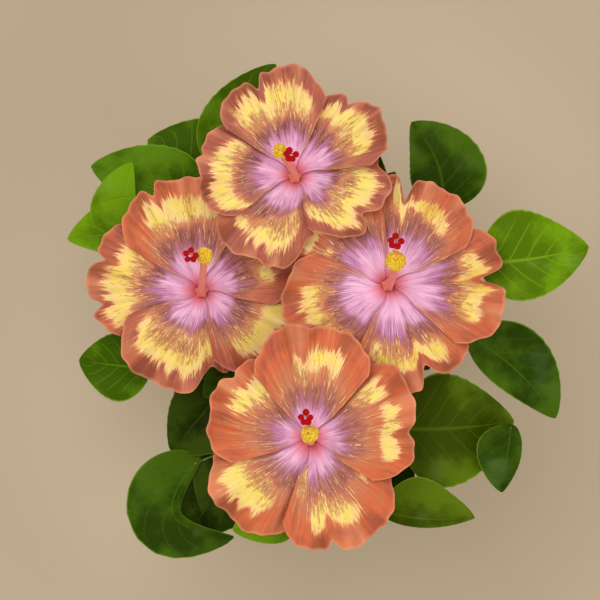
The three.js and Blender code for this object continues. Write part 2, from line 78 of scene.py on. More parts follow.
SCAR_SWELL = 0.16  # and at the scars of old leaves
SCARS = 5
LOW_BOUGH_RADIUS = 3.4
STEM_RADIUS = 3  # a mass's own stem at its lower end
HIGH_STEM_TIP = 2
LOW_STEM_TIP = 1.2
STEM_RUN = 14  # a stem first runs on in its bough's direction
LOW_STEM = ((15, 36), (20, 68))  # then a low one goes out from the trunk and up

PETAL_EYE = 4.5  # radius where the petals start, round the column
THROAT_DEPTH = 26
THROAT_WIDTH = 11
PETAL_OVERLAP = 3  # rise of an upper edge, drop of a lower one
EDGE_LIFT = 2.6  # the same again, growing towards the rim
PETAL_ROUNDNESS = 0.26  # share of its length lost at a petal's corners
CLAW_ANGLE = 24  # half of a petal's angle in the throat, at an edge that lies on top
CLAW_OVERLAP = 9  # how far its neighbour runs on under it there
PETAL_RUFFLE = 5  # height of a petal's broad waves
PETAL_CURL = 5  # how far its rim bends down
FRILL_HEIGHT = 5.8  # waves of a petal's outer part
PLEAT_HEIGHT = 0.8  # fine pleats all along it
RIM_WOBBLE = 0.016  # share of its length, in and out along its rim
CREASE_DEPTH = 34  # a fold that runs in from a notch, for a notch as deep as the petal

COLUMN_RADIUS = 3
COLUMN_FOOT = 4.8
COLUMN_STAR = 1.6  # how far the foot's five ribs stand out
ANTHER_HEIGHT = 52
ANTHER_REACH = (0.76, 0.98)  # shares of the ball's radius
ANTHER_SIZE = (0.22, 0.29)
ANTHER_SHAPE = (1.25, 0.7, 0.7)
ANTHER_BEND = 0.288
THREAD_RADIUS = 0.3
CORE_SHARE = 0.66  # the solid heart of the ball
PAD_RADIUS = 2.6
PAD_RING = 4.3  # circle that the five pads stand on
PAD_RISE = 5  # their height over the ball of anthers
PAD_FLATNESS = 0.74
PAD_LUMPS = 0.16
STYLE_RADII = (0.8, 0.7)  # below the fork
BRANCH_RADII = (0.55, 0.65)  # and above it
STALK_LENGTH = 75
CALYX_TOP = -THROAT_DEPTH - 1.6
CALYX_PROFILE = (  # share of the way up, radius
    (0, 2), (0.3, 2), (0.42, 2.9), (0.5, 5.2), (0.67, 8.2), (0.84, 8.6), (1, 5.8))
LOBE = {"width": 4.4, "foot": -37, "rise": 17, "start": 7.6, "spread": 5.6}
BRACT = {"width": 1.2, "foot": -46, "rise": 9, "start": 6.2, "spread": 6.5}
FLAP_THICKNESS = 0.6

# The blooms. place: centre of the open disc. lean: degrees towards east and
# north. anthers and stigmas: their offset from the throat. ball: radius of the
# ball of anthers. laps: 1 where a petal lies over the next one, -1 where it lies
# under it. warmth: from rose to coral. gold: from lemon to mustard. heart: how far
# out the lilac heart reaches. smoulder: how dark the band round the heart is.
# The petals go clockwise from the northern one. angle: degrees anticlockwise from
# east. spread: half of a petal's angle. skew: how much longer its anticlockwise
# side is. ruffle: height of its waves. dents: notches at u across it, with u = -1
# at its clockwise edge, each with its width and its depth. flames: the yellow
# patches, where they lie across and along it, and how far they spread each way.
BLOOMS = {
    "north": {
        "place": (-4.4, 107.3, 362), "lean": (0, 3), "laps": (1, 1, 1, -1, -1),
        "anthers": (-12, 12), "stigmas": (-3.4, 8), "ball": 6,
        "warmth": 0.15, "gold": 0.0, "heart": 0.45, "smoulder": 1.0,
        "petals": [
            {"angle": 107, "length": 93, "spread": 40, "dents": [(0.16, 0.08, 0.15)],
             "flames": [(0.55, 0.72, 0.22, 0.15), (0.15, 0.7, 0.3, 0.13), (-0.2, 0.7, 0.3, 0.14),
                        (-0.6, 0.68, 0.2, 0.12)]},
            {"angle": 43, "length": 89, "spread": 37,
             "dents": [(0.25, 0.08, 0.1), (0.65, 0.35, 0.13)],
             "flames": [(0.7, 0.75, 0.2, 0.1), (0.3, 0.78, 0.22, 0.1), (-0.05, 0.72, 0.25, 0.13),
                        (-0.3, 0.66, 0.25, 0.16), (-0.6, 0.68, 0.15, 0.1)]},
            {"angle": -28, "length": 79, "spread": 48, "skew": 0.12, "ruffle": 3,
             "dents": [(-0.05, 0.09, 0.13), (0.72, 0.14, 0.08), (-0.75, 0.3, 0.12)],
             "flames": [(0.5, 0.7, 0.3, 0.15), (0.12, 0.68, 0.3, 0.18), (-0.2, 0.7, 0.25, 0.15),
                        (-0.5, 0.66, 0.22, 0.15), (-0.78, 0.64, 0.15, 0.12),
                        (0.95, 0.45, 0.08, 0.2)]},
            {"angle": -119, "length": 84, "spread": 46, "ruffle": 3,
             "dents": [(0.1, 0.12, 0.06), (0.85, 0.2, 0.22)],
             "flames": [(0.6, 0.56, 0.15, 0.12), (0.36, 0.65, 0.25, 0.15), (0.05, 0.7, 0.28, 0.14),
                        (-0.4, 0.72, 0.12, 0.06)]},
            {"angle": 175, "length": 83, "spread": 41, "dents": [(-0.16, 0.06, 0.05)],
             "flames": [(-0.5, 0.66, 0.15, 0.1), (-0.18, 0.73, 0.22, 0.12),
                        (0.15, 0.74, 0.25, 0.1), (0.55, 0.77, 0.25, 0.12), (0.85, 0.78, 0.15, 0.1)]},
        ],
    },
    "west": {
        "place": (-85.3, 8.4, 330), "lean": (3, 2), "laps": (1, 1, 1, 1, -1),
        "anthers": (2.5, 27), "stigmas": (-9.4, 26.4), "ball": 6.8,
        "warmth": 0.42, "gold": 0.3, "heart": 0.43, "smoulder": 0.95,
        "petals": [
            {"angle": 106, "length": 101, "spread": 44, "warmth": 0.85, "dents": [(0.25, 0.06, 0.1)],
             "flames": [(0.38, 0.72, 0.16, 0.14), (0.12, 0.72, 0.25, 0.11),
                        (-0.15, 0.72, 0.25, 0.1), (-0.45, 0.72, 0.25, 0.08),
                        (-0.72, 0.82, 0.15, 0.06)]},
            {"angle": 32, "length": 84, "spread": 44, "ruffle": 3,
             "flames": [(-0.4, 0.68, 0.2, 0.08), (0.1, 0.72, 0.2, 0.05)]},
            {"angle": -36, "length": 83, "spread": 44, "ruffle": 3,
             "flames": [(-0.35, 0.68, 0.2, 0.13), (0.0, 0.76, 0.28, 0.15), (0.4, 0.82, 0.25, 0.13),
                        (0.7, 0.86, 0.25, 0.1)]},
            {"angle": -113, "length": 91, "spread": 48, "warmth": 0.25, "dents": [(0.62, 0.17, 0.24)],
             "flames": [(-0.65, 0.68, 0.2, 0.12), (-0.35, 0.64, 0.25, 0.14),
                        (-0.05, 0.64, 0.28, 0.16), (0.25, 0.64, 0.25, 0.16),
                        (0.55, 0.68, 0.2, 0.14), (0.8, 0.76, 0.2, 0.14)]},
            {"angle": 172, "length": 99, "spread": 42,
             "dents": [(-0.23, 0.05, 0.08), (0.38, 0.08, 0.14)],
             "flames": [(-0.5, 0.66, 0.25, 0.13), (-0.15, 0.7, 0.25, 0.12), (0.12, 0.7, 0.2, 0.13),
                        (0.4, 0.72, 0.15, 0.15), (0.65, 0.78, 0.15, 0.12)]},
        ],
    },
    "east": {
        "place": (77.8, 13.1, 346), "lean": (3, 0), "laps": (1, 1, 1, 1, 1),
        "anthers": (-1.2, 19), "stigmas": (-2.3, 35), "ball": 8.2,
        "warmth": 0.62, "gold": 0.8, "heart": 0.52, "smoulder": 0.8,
        "petals": [
            {"angle": 68, "length": 96, "spread": 42, "dents": [(0.3, 0.08, 0.24)],
             "flames": [(0.42, 0.8, 0.08, 0.12), (0.28, 0.84, 0.1, 0.06), (0.02, 0.76, 0.2, 0.05),
                        (-0.2, 0.76, 0.15, 0.07), (-0.42, 0.7, 0.2, 0.07)]},
            {"angle": 0, "length": 101, "spread": 42, "dents": [(0.09, 0.09, 0.22)],
             "flames": [(0.4, 0.7, 0.15, 0.08), (0.22, 0.78, 0.12, 0.1), (-0.05, 0.78, 0.12, 0.1),
                        (-0.2, 0.72, 0.15, 0.08), (-0.35, 0.64, 0.15, 0.1),
                        (-0.5, 0.72, 0.1, 0.08)]},
            {"angle": -72, "length": 94, "spread": 46, "dents": [(0.12, 0.1, 0.2)],
             "flames": [(-0.62, 0.68, 0.15, 0.1), (-0.35, 0.66, 0.22, 0.13),
                        (-0.05, 0.73, 0.22, 0.06), (0.2, 0.78, 0.15, 0.07),
                        (0.4, 0.74, 0.14, 0.13)]},
            {"angle": 203, "length": 94, "spread": 46, "ruffle": 3,
             "flames": [(-0.4, 0.68, 0.1, 0.14), (-0.2, 0.74, 0.14, 0.1), (0.08, 0.72, 0.16, 0.09),
                        (0.32, 0.7, 0.16, 0.07), (0.52, 0.66, 0.15, 0.06)]},
            {"angle": 140, "length": 93, "spread": 44, "ruffle": 3,
             "flames": [(0.3, 0.64, 0.14, 0.04), (0.15, 0.84, 0.25, 0.05), (-0.5, 0.67, 0.2, 0.05)]},
        ],
    },
    "south": {
        "place": (8.5, -120.9, 367), "lean": (0, -3), "laps": (1, 1, 1, -1, -1),
        "anthers": (-0.5, 14), "stigmas": (-4, 29), "ball": 7.2,
        "warmth": 0.85, "gold": 0.05, "heart": 0.37, "smoulder": 0.7,
        "petals": [
            {"angle": 89, "length": 100, "spread": 40, "ruffle": 4,
             "flames": [(0.22, 0.6, 0.13, 0.12), (-0.06, 0.7, 0.12, 0.12),
                        (-0.27, 0.74, 0.14, 0.06), (-0.42, 0.69, 0.13, 0.12)]},
            {"angle": 13, "length": 94, "spread": 44, "skew": 0.1, "ruffle": 6,
             "dents": [(-0.14, 0.12, 0.08)],
             "flames": [(0.66, 0.66, 0.12, 0.14), (0.5, 0.68, 0.08, 0.1), (0.2, 0.76, 0.14, 0.08),
                        (-0.05, 0.78, 0.1, 0.09), (-0.25, 0.76, 0.12, 0.08),
                        (-0.45, 0.76, 0.14, 0.08)]},
            {"angle": -65, "length": 96, "spread": 44, "dents": [(-0.27, 0.06, 0.07)],
             "flames": [(-0.32, 0.6, 0.17, 0.09), (-0.45, 0.7, 0.12, 0.11),
                        (-0.05, 0.64, 0.18, 0.09), (0.1, 0.71, 0.17, 0.1),
                        (0.75, 0.63, 0.08, 0.05), (-0.78, 0.4, 0.12, 0.14)]},
            {"angle": 222, "length": 95, "spread": 42, "dents": [(0.8, 0.3, 0.07)],
             "flames": [(-0.68, 0.66, 0.12, 0.1), (-0.45, 0.74, 0.15, 0.12),
                        (-0.25, 0.7, 0.18, 0.14), (0.0, 0.7, 0.2, 0.14), (0.2, 0.66, 0.18, 0.12),
                        (-0.08, 0.58, 0.2, 0.08)]},
            {"angle": 152, "length": 91, "spread": 42, "ruffle": 4, "dents": [(-0.3, 0.07, 0.05)],
             "flames": [(-0.5, 0.7, 0.14, 0.12), (-0.25, 0.7, 0.18, 0.13), (0.0, 0.72, 0.15, 0.09)]},
        ],
    },
}

# The high boughs, each under its bloom, and the low ones between them.
HIGH_BOUGHS = {
    "north": {"tip": (-4, 78, 203), "leave": 76, "radius": 5},
    "west": {"tip": (-66, 7, 190), "leave": 82, "radius": 4.8},
    "east": {"tip": (60, 11, 196), "leave": 70, "radius": 4.8},
    "south": {"tip": (7, -88, 205), "leave": 64, "radius": 5},
}
LOW_BOUGHS = {
    "northeast": {"bearing": 47, "leave": 42, "reach": 54, "height": 106},
    "northwest": {"bearing": 133, "leave": 50, "reach": 52, "height": 112},
    "southwest": {"bearing": 228, "leave": 38, "reach": 55, "height": 104},
    "southeast": {"bearing": 314, "leave": 46, "reach": 53, "height": 110},
}

# The large leaves of the crown's rim: tone of green, ends of the midrib, widest half
# of the blade on its left and right, then what sets a leaf apart. bow: how far the
# midrib bends to the right. fold: V of the blade. wave: height of the blade's waves.
# via: a point that the stalk passes.
RIM_LEAVES = {
    "north": [
        ("fresh", (-72, 113, 300), (-22, 206, 316), 33, 30, {"bow": -3}),
        ("fresh", (-81, 99, 250), (-137, 145, 262), 30, 54, {"bow": 2}),
        ("shade", (64, 75, 296), (67, 129, 316), 10, 10, {"bow": 2}),
        ("deep", (128, 80, 290), (99, 157, 300), 27, 40, {"bow": 8}),
    ],
    "west": [
        ("fresh", (-90, 76, 262), (-187, 120, 276), 27, 42, {"bow": 4}),
        ("young", (-157, 53, 286), (-149, 121, 300), 27, 12, {"bow": -4}),
        ("young", (-119, 56, 292), (-207, 54, 290), 19, 32, {"bow": 3}),
        ("fresh", (-132, -62, 286), (-198, -54, 280), 30, 30, {"fold": 0.5}),
        ("deep", (-44, -44, 290), (-86, -87, 286), 16, 18, {}),
        ("shade", (-67, -77, 262), (-117, -138, 258), 40, 31, {"wave": 4}),
    ],
    "east": [
        ("olive", (88, -116, 272), (193, -109, 270), 50, 52, {"bow": 2}),
        ("deep", (188, -110, 290), (180, -172, 284), 11, 28, {"via": (172, -110, 258)}),
        ("deep", (149, -31, 298), (231, -107, 274), 36, 21, {"bow": -6}),
        ("young", (158, 32, 302), (254, 47, 308), 44, 35, {"bow": 3}),
    ],
    "south": [
        ("deep", (-90, -141, 258), (-60, -214, 266), 7, 41, {"bow": 42, "wave": 4}),
        ("shade", (-57, -150, 240), (-104, -216, 240), 35, 38, {}),
        ("shade", (-58, -112, 248), (-86, -198, 246), 28, 27, {}),
        ("young", (0, -188, 296), (-60, -205, 290), 20, 23, {}),
        ("shade", (65, -125, 252), (99, -182, 254), 24, 24, {}),
        ("olive", (70, -187, 294), (156, -194, 288), 37, 7, {"bow": 4}),
    ],
}
# The tones of green: how much rougher than the setting, and how much the veins show.
LEAF_TONES = {
    "young": (0.06, 1.0), "fresh": (0.0, 0.9), "deep": (-0.04, 0.35), "shade": (0.0, 0.25),
    "olive": (0.0, 0.4)}
TONES = tuple(LEAF_TONES)
RIM_ARCH = 0.06
RIM_TEETH = 0.03  # depth of the teeth along a large leaf's edge
RIM_START = 0.45  # share of the stem where the first large leaf's stalk starts
RIM_RUN = 0.4  # and how far up the stem the others follow
LIGHT_SHEEN = (0.2, 0.3, 0.12)  # what the sky adds to a leaf's colour

# How the seeded leaves grow on a stem. count: how many it tries. span: the shares of
# the stem that they stand on. fan: degrees that they turn each way from its bearing.
# size: their length. pitch: degrees over level.
INNER_LEAVES = {
    "count": 9, "span": (0.1, 0.8), "fan": 180, "size": (46, 64), "pitch": (-6, 18)}
LOW_LEAVES = {
    "count": 10, "span": (0.04, 0.98), "fan": 100, "size": (44, 62), "pitch": (-38, 26)}
HIGH_SHOOTS = {"span": (0.1, 0.85), "fan": 180}
LOW_SHOOTS = {"span": (0.05, 0.95), "fan": 120}
GOLDEN = 0.618  # share of a turn from one leaf to the next
LEAF_STALK = (9, 19)
LEAF_HALF = (0.3, 0.36)  # half its width, as a share of its length
LEAF_ARCH = 0.12
LEAF_FOLD = 0.16
LEAF_WAVE = 2
SHOOT_RADIUS = 1.2
SHOOT_REACH = (22, 60)
SHOOT_PITCH = (-8, 40)
SHOOT_LEAVES = ((0.45, -62), (0.7, 58), (0.96, 0))  # share of the twig, degrees off it
SHOOT_SCATTER = 18
SHOOT_LEAF_STALK = (5, 11)
SHOOT_LEAF_SIZE = (24, 46)
SHOOT_LEAF_HALF = (0.28, 0.36)
SHOOT_LEAF_ARCH = 0.14
SHOOT_LEAF_PITCH = (-30, 22)
STALK_RADIUS = 1.25  # of a leaf's stalk on a stem
THIN_STALK_RADIUS = 0.6  # and on a side shoot

# The room that the seeded leaves keep to.
LOW_CEILING = 204
LOW_FLOOR = 28
LOW_RADIUS = 152
LOW_SECTOR = 39
LOW_CLEAR = 24  # kept free round the trunk
INNER_FLOOR = 208
INNER_DROP = 62  # how far the leaves under a bloom stay below its disc
INNER_RADIUS = 92
RIVAL_CLEAR = 8  # how much nearer they are to their own bloom's axis than to another's

KEY_PLACE = (-0.45, 0.5, 2.0)  # the lights, in metres
KEY_SIZE = 1.2
FILL_PLACE = (0.8, -0.7, 1.6)
FILL_SIZE = 1.6
AIM_HEIGHT = 0.25
FLOOR_SIZE = 30
FLOOR_DROP = 0.0005


# --------------------------------------------------------------------- numbers
def seeded(seed):
    """Yields the same row of numbers from 0 to 1 for the same seed."""
    state = seed
    while True:
        state = state * 16807 % 2147483647
        yield state / 2147483647


def between(low, high, draw):
    return low + (high - low) * next(draw)


def smoothstep(x, low, high):
    share = np.clip((np.asarray(x, float) - low) / (high - low), 0, 1)
    return share * share * (3 - 2 * share)


def unit(rows):
    return rows / np.linalg.norm(rows, axis=-1, keepdims=True)


def bump(x, at, width):
    """A soft hill of height 1."""
    return np.exp(-((x - at) / width) ** 2)


def direction(bearing, climb):
    """A unit vector from a bearing and a climb in radians."""
    return np.array((
        math.cos(bearing) * math.cos(climb), math.sin(bearing) * math.cos(climb), math.sin(climb)))


def paint(red, green, blue):
    """A screen colour from 0 to 255 in the scene's linear light."""
    shares = [channel / 255 for channel in (red, green, blue)]
    return [s / 12.92 if s <= 0.04045 else ((s + 0.055) / 1.055) ** 2.4 for s in shares]


def mixed(one, other, share):
    """A colour between two others."""
    return [a + (b - a) * share for a, b in zip(one, other)]


class Curve:
    """A smooth curve through points, walked by its arc length."""

    def __init__(self, points, dense=40):
        points = np.array(points, float)
        knots = np.vstack([2 * points[0] - points[1], points, 2 * points[-1] - points[-2]])
        t = np.linspace(0, 1, dense, endpoint=False)[:, None]
        rows = []
        for a, b, c, d in zip(knots, knots[1:], knots[2:], knots[3:]):
            ab, bc, cd = (math.sqrt(np.linalg.norm(q - p)) for p, q in ((a, b), (b, c), (c, d)))
            leaving = ((b - a) / ab - (c - a) / (ab + bc) + (c - b) / bc) * bc
            arriving = ((c - b) / bc - (d - b) / (bc + cd) + (d - c) / cd) * bc
            square = 3 * (c - b) - 2 * leaving - arriving
            cube = 2 * (b - c) + leaving + arriving
            rows.append(b + leaving * t + square * t ** 2 + cube * t ** 3)
        self.spots = np.vstack(rows + [points[-1]])
        steps = np.linalg.norm(np.diff(self.spots, axis=0), axis=1)
        self.walked = np.concatenate([[0], np.cumsum(steps)])
        self.length = self.walked[-1]

    def at(self, share):
        """The points at these shares of the curve's length."""
        far = np.asarray(share) * self.length
        return np.stack([np.interp(far, self.walked, self.spots[:, k]) for k in range(3)], axis=-1)

    def heading(self, share):
        step = 0.5 / self.length
        share = np.asarray(share)
        return unit(self.at(np.minimum(share + step, 1)) - self.at(np.maximum(share - step, 0)))

    def frames(self, steps):
        """Two sideways directions at each of steps + 1 rings, with no twist between rings."""
        ahead = self.heading(np.linspace(0, 1, steps + 1))
        first = np.cross(ahead[0], (1, 0, 0) if abs(ahead[0][0]) < 0.8 else (0, 1, 0))
        sideways = [unit(first)]
        for heading in ahead[1:]:
            last = sideways[-1]
            sideways.append(unit(last - heading * last.dot(heading)))
        sideways = np.array(sideways)
        return sideways, np.cross(ahead, sideways)


# -------------------------------------------------------------------- modelling
def only(*pieces):
    """Selects these objects and nothing else, the first one active."""
    bpy.ops.object.select_all(action="DESELECT")
    for piece in pieces:
        piece.select_set(True)
    bpy.context.view_layer.objects.active = pieces[0]


def keep_blank(name):
    """Puts the active object's mesh aside as a blank to copy, its map named sheet."""
    shape = bpy.context.object
    mesh = shape.data
    mesh.name = name
    mesh.uv_layers[0].name = "sheet"
    bpy.data.objects.remove(shape)
    return mesh


def sheet_blank(across, along):
    """A flat sheet: x runs from -1 to 1 across it and y from -1 to 1 along it."""
    bpy.ops.object.select_all(action="DESELECT")
    bpy.ops.mesh.primitive_grid_add(x_subdivisions=across, y_subdivisions=along, size=2)
    return keep_blank("sheet_blank")


def rod_blank(sides, steps):
    """An upright rod of radius 1, from z = -0.5 to 0.5, cut into rings."""
    bpy.ops.object.select_all(action="DESELECT")
    bpy.ops.mesh.primitive_cylinder_add(vertices=sides, radius=1, depth=1)
    if steps > 1:
        bpy.ops.object.mode_set(mode="EDIT")
        bpy.ops.mesh.select_all(action="DESELECT")
        rod = bmesh.from_edit_mesh(bpy.context.object.data)
        for edge in rod.edges:
            low, high = sorted(corner.co.z for corner in edge.verts)
            edge.select_set(high - low > 0.9)
        bmesh.update_edit_mesh(bpy.context.object.data)
        bpy.ops.mesh.subdivide(number_cuts=steps - 1)
        bpy.ops.object.mode_set(mode="OBJECT")
    return keep_blank("rod_blank")


def ball_blank(segments, rings):
    """A ball of radius 1."""
    bpy.ops.object.select_all(action="DESELECT")
    bpy.ops.mesh.primitive_uv_sphere_add(segments=segments, ring_count=rings, radius=1)
    return keep_blank("ball_blank")


def points_of(mesh):
    rows = np.empty(len(mesh.vertices) * 3)
    mesh.vertices.foreach_get("co", rows)
    return rows.reshape(-1, 3)


def shaped(blank, points):
    """A new object from a blank, its vertices moved to points given in millimetres."""
    mesh = blank.copy()
    mesh.vertices.foreach_set("co", (np.asarray(points) * MM).ravel())
    mesh.update()
    piece = bpy.data.objects.new(blank.name, mesh)
    bpy.context.scene.collection.objects.link(piece)
    return piece


def limb(blank, curve, radius_at):
    """A rod bent onto a curve. radius_at(along, around) gives its radius in millimetres."""
    spots = points_of(blank)
    along = spots[:, 2] + 0.5
    steps = len(np.unique(np.round(along, 4))) - 1
    sideways, across = curve.frames(steps)
    ring = np.round(along * steps).astype(int)
    around = np.arctan2(spots[:, 1], spots[:, 0])
    size = np.hypot(spots[:, 0], spots[:, 1]) * radius_at(along, around)
    out = sideways[ring] * np.cos(around)[:, None] + across[ring] * np.sin(around)[:, None]
    return shaped(blank, curve.at(along) + out * size[:, None])


def taper(start, end):
    return lambda along, around: start + (end - start) * along


def joined(name, pieces):
    only(*pieces)
    if len(pieces) > 1:
        bpy.ops.object.join()
    pieces[0].name = name
    pieces[0].data.name = name
    return pieces[0]


def thicken(piece, thickness, back_offset):
    """Gives a sheet its thickness in metres, on its underside, in the last material."""
    only(piece)
    wall = piece.modifiers.new("wall", "SOLIDIFY")
    wall.thickness = thickness
    wall.offset = -1
    wall.material_offset = back_offset
    bpy.ops.object.modifier_apply(modifier=wall.name)


def coat(piece, *materials):
    for material in materials:
        piece.data.materials.append(material)


def settle(piece, slot, *nodes):
    """Smooths a finished piece, hangs it on the root and hides the solids that it stands for."""
    only(piece)
    bpy.ops.object.shade_smooth_by_angle(angle=math.radians(50))
    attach(piece, "root")
    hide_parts(*nodes)


def number_layer(mesh, name, values):
    layer = mesh.attributes.new(name, "FLOAT", "POINT")
    layer.data.foreach_set("value", np.asarray(values, np.float32))


# -------------------------------------------------------------------- materials
class Value:
    """A shader socket that takes part in sums, each of which adds a Math node."""

    def __init__(self, finish, socket):
        self.finish = finish
        self.socket = socket

    def sum(self, operation, first, second=0.0):
        made = self.finish.node("ShaderNodeMath", {"operation": operation}, {0: first, 1: second})
        return Value(self.finish, made.outputs[0])

    def __add__(self, other):
        return self.sum("ADD", self, other)

    def __radd__(self, other):
        return self.sum("ADD", other, self)

    def __sub__(self, other):
        return self.sum("SUBTRACT", self, other)

    def __rsub__(self, other):
        return self.sum("SUBTRACT", other, self)

    def __mul__(self, other):
        return self.sum("MULTIPLY", self, other)

    def __rmul__(self, other):
        return self.sum("MULTIPLY", other, self)

    def __truediv__(self, other):
        return self.sum("DIVIDE", self, other)

    def __abs__(self):
        return self.sum("ABSOLUTE", self)

    def wrapped(self):
        """What is left over a whole number."""
        return self.sum("FRACT", self)

    def rise(self, low, high):
        """From 0 at low to 1 at high, with soft ends."""
        made = self.finish.node(
            "ShaderNodeMapRange", {"interpolation_type": "SMOOTHSTEP"},
            {"Value": self, "From Min": low, "From Max": high})
        return Value(self.finish, made.outputs["Result"])


class Finish:
    """A material under construction."""

    def __init__(self, name, constants=None):
        self.material = bpy.data.materials.new(name)
        self.material.use_nodes = True
        self.tree = self.material.node_tree
        self.shader = self.tree.nodes["Principled BSDF"]
        for socket, number in (constants or {}).items():
            self.shader.inputs[socket].default_value = number

    def node(self, kind, settings, values):
        """Adds a node: its settings first, then the values or links of its sockets."""
        made = self.tree.nodes.new(kind)
        for name, setting in settings.items():
            setattr(made, name, setting)
        for name, value in values.items():
            self.feed(made.inputs[name], value)
        return made

    def feed(self, socket, value):
        if isinstance(value, Value):
            self.tree.links.new(value.socket, socket)
        else:
            socket.default_value = value

    def place(self):
        """The point on the piece, in metres."""
        return Value(self, self.node("ShaderNodeTexCoord", {}, {}).outputs["Object"])

    def parts(self, where):
        """The three numbers of a point."""
        made = self.node("ShaderNodeSeparateXYZ", {}, {0: where})
        return [Value(self, socket) for socket in made.outputs]

    def sheet(self):
        """Where a point lies across and along the piece's own map."""
        where = self.node("ShaderNodeUVMap", {"uv_map": "sheet"}, {})
        return self.parts(Value(self, where.outputs[0]))[:2]

    def layer(self, name):
        made = self.node("ShaderNodeAttribute", {"attribute_name": name}, {})
        return Value(self, made.outputs["Fac"])

    def spot(self, x, y, z=0.0):
        return Value(self, self.node("ShaderNodeCombineXYZ", {}, {0: x, 1: y, 2: z}).outputs[0])

    def grain(self, where, scale=1.0, detail=3.0, roughness=0.55):
        """Soft noise round 0."""
        made = self.node("ShaderNodeTexNoise", {}, {
            "Vector": where, "Scale": scale, "Detail": detail, "Roughness": roughness})
        return Value(self, made.outputs[0]) - 0.5

    def cells(self, where, scale):
        """Distance to the nearest wall of a net of cells."""
        made = self.node("ShaderNodeTexVoronoi", {"feature": "DISTANCE_TO_EDGE"}, {
            "Vector": where, "Scale": scale})
        return Value(self, made.outputs["Distance"])

    def blend(self, share, one, other):
        made = self.node("ShaderNodeMix", {"data_type": "RGBA"}, {
            0: share, 6: self.opaque(one), 7: self.opaque(other)})
        return Value(self, made.outputs[2])

    @staticmethod
    def opaque(value):
        return value if isinstance(value, Value) else (*value[:3], 1.0)

    def done(self, colour, roughness=None, relief=None, depth=0.3, strength=1.0):
        """Feeds the shader. relief is a height from 0 to 1 that stands depth millimetres high."""
        self.feed(self.shader.inputs["Base Color"], self.opaque(colour))
        if roughness is not None:
            self.feed(self.shader.inputs["Roughness"], roughness)
        if relief is not None:
            made = self.node("ShaderNodeBump", {}, {
                "Height": relief, "Distance": depth * MM, "Strength": strength})
            self.feed(self.shader.inputs["Normal"], Value(self, made.outputs[0]))
        return self.material


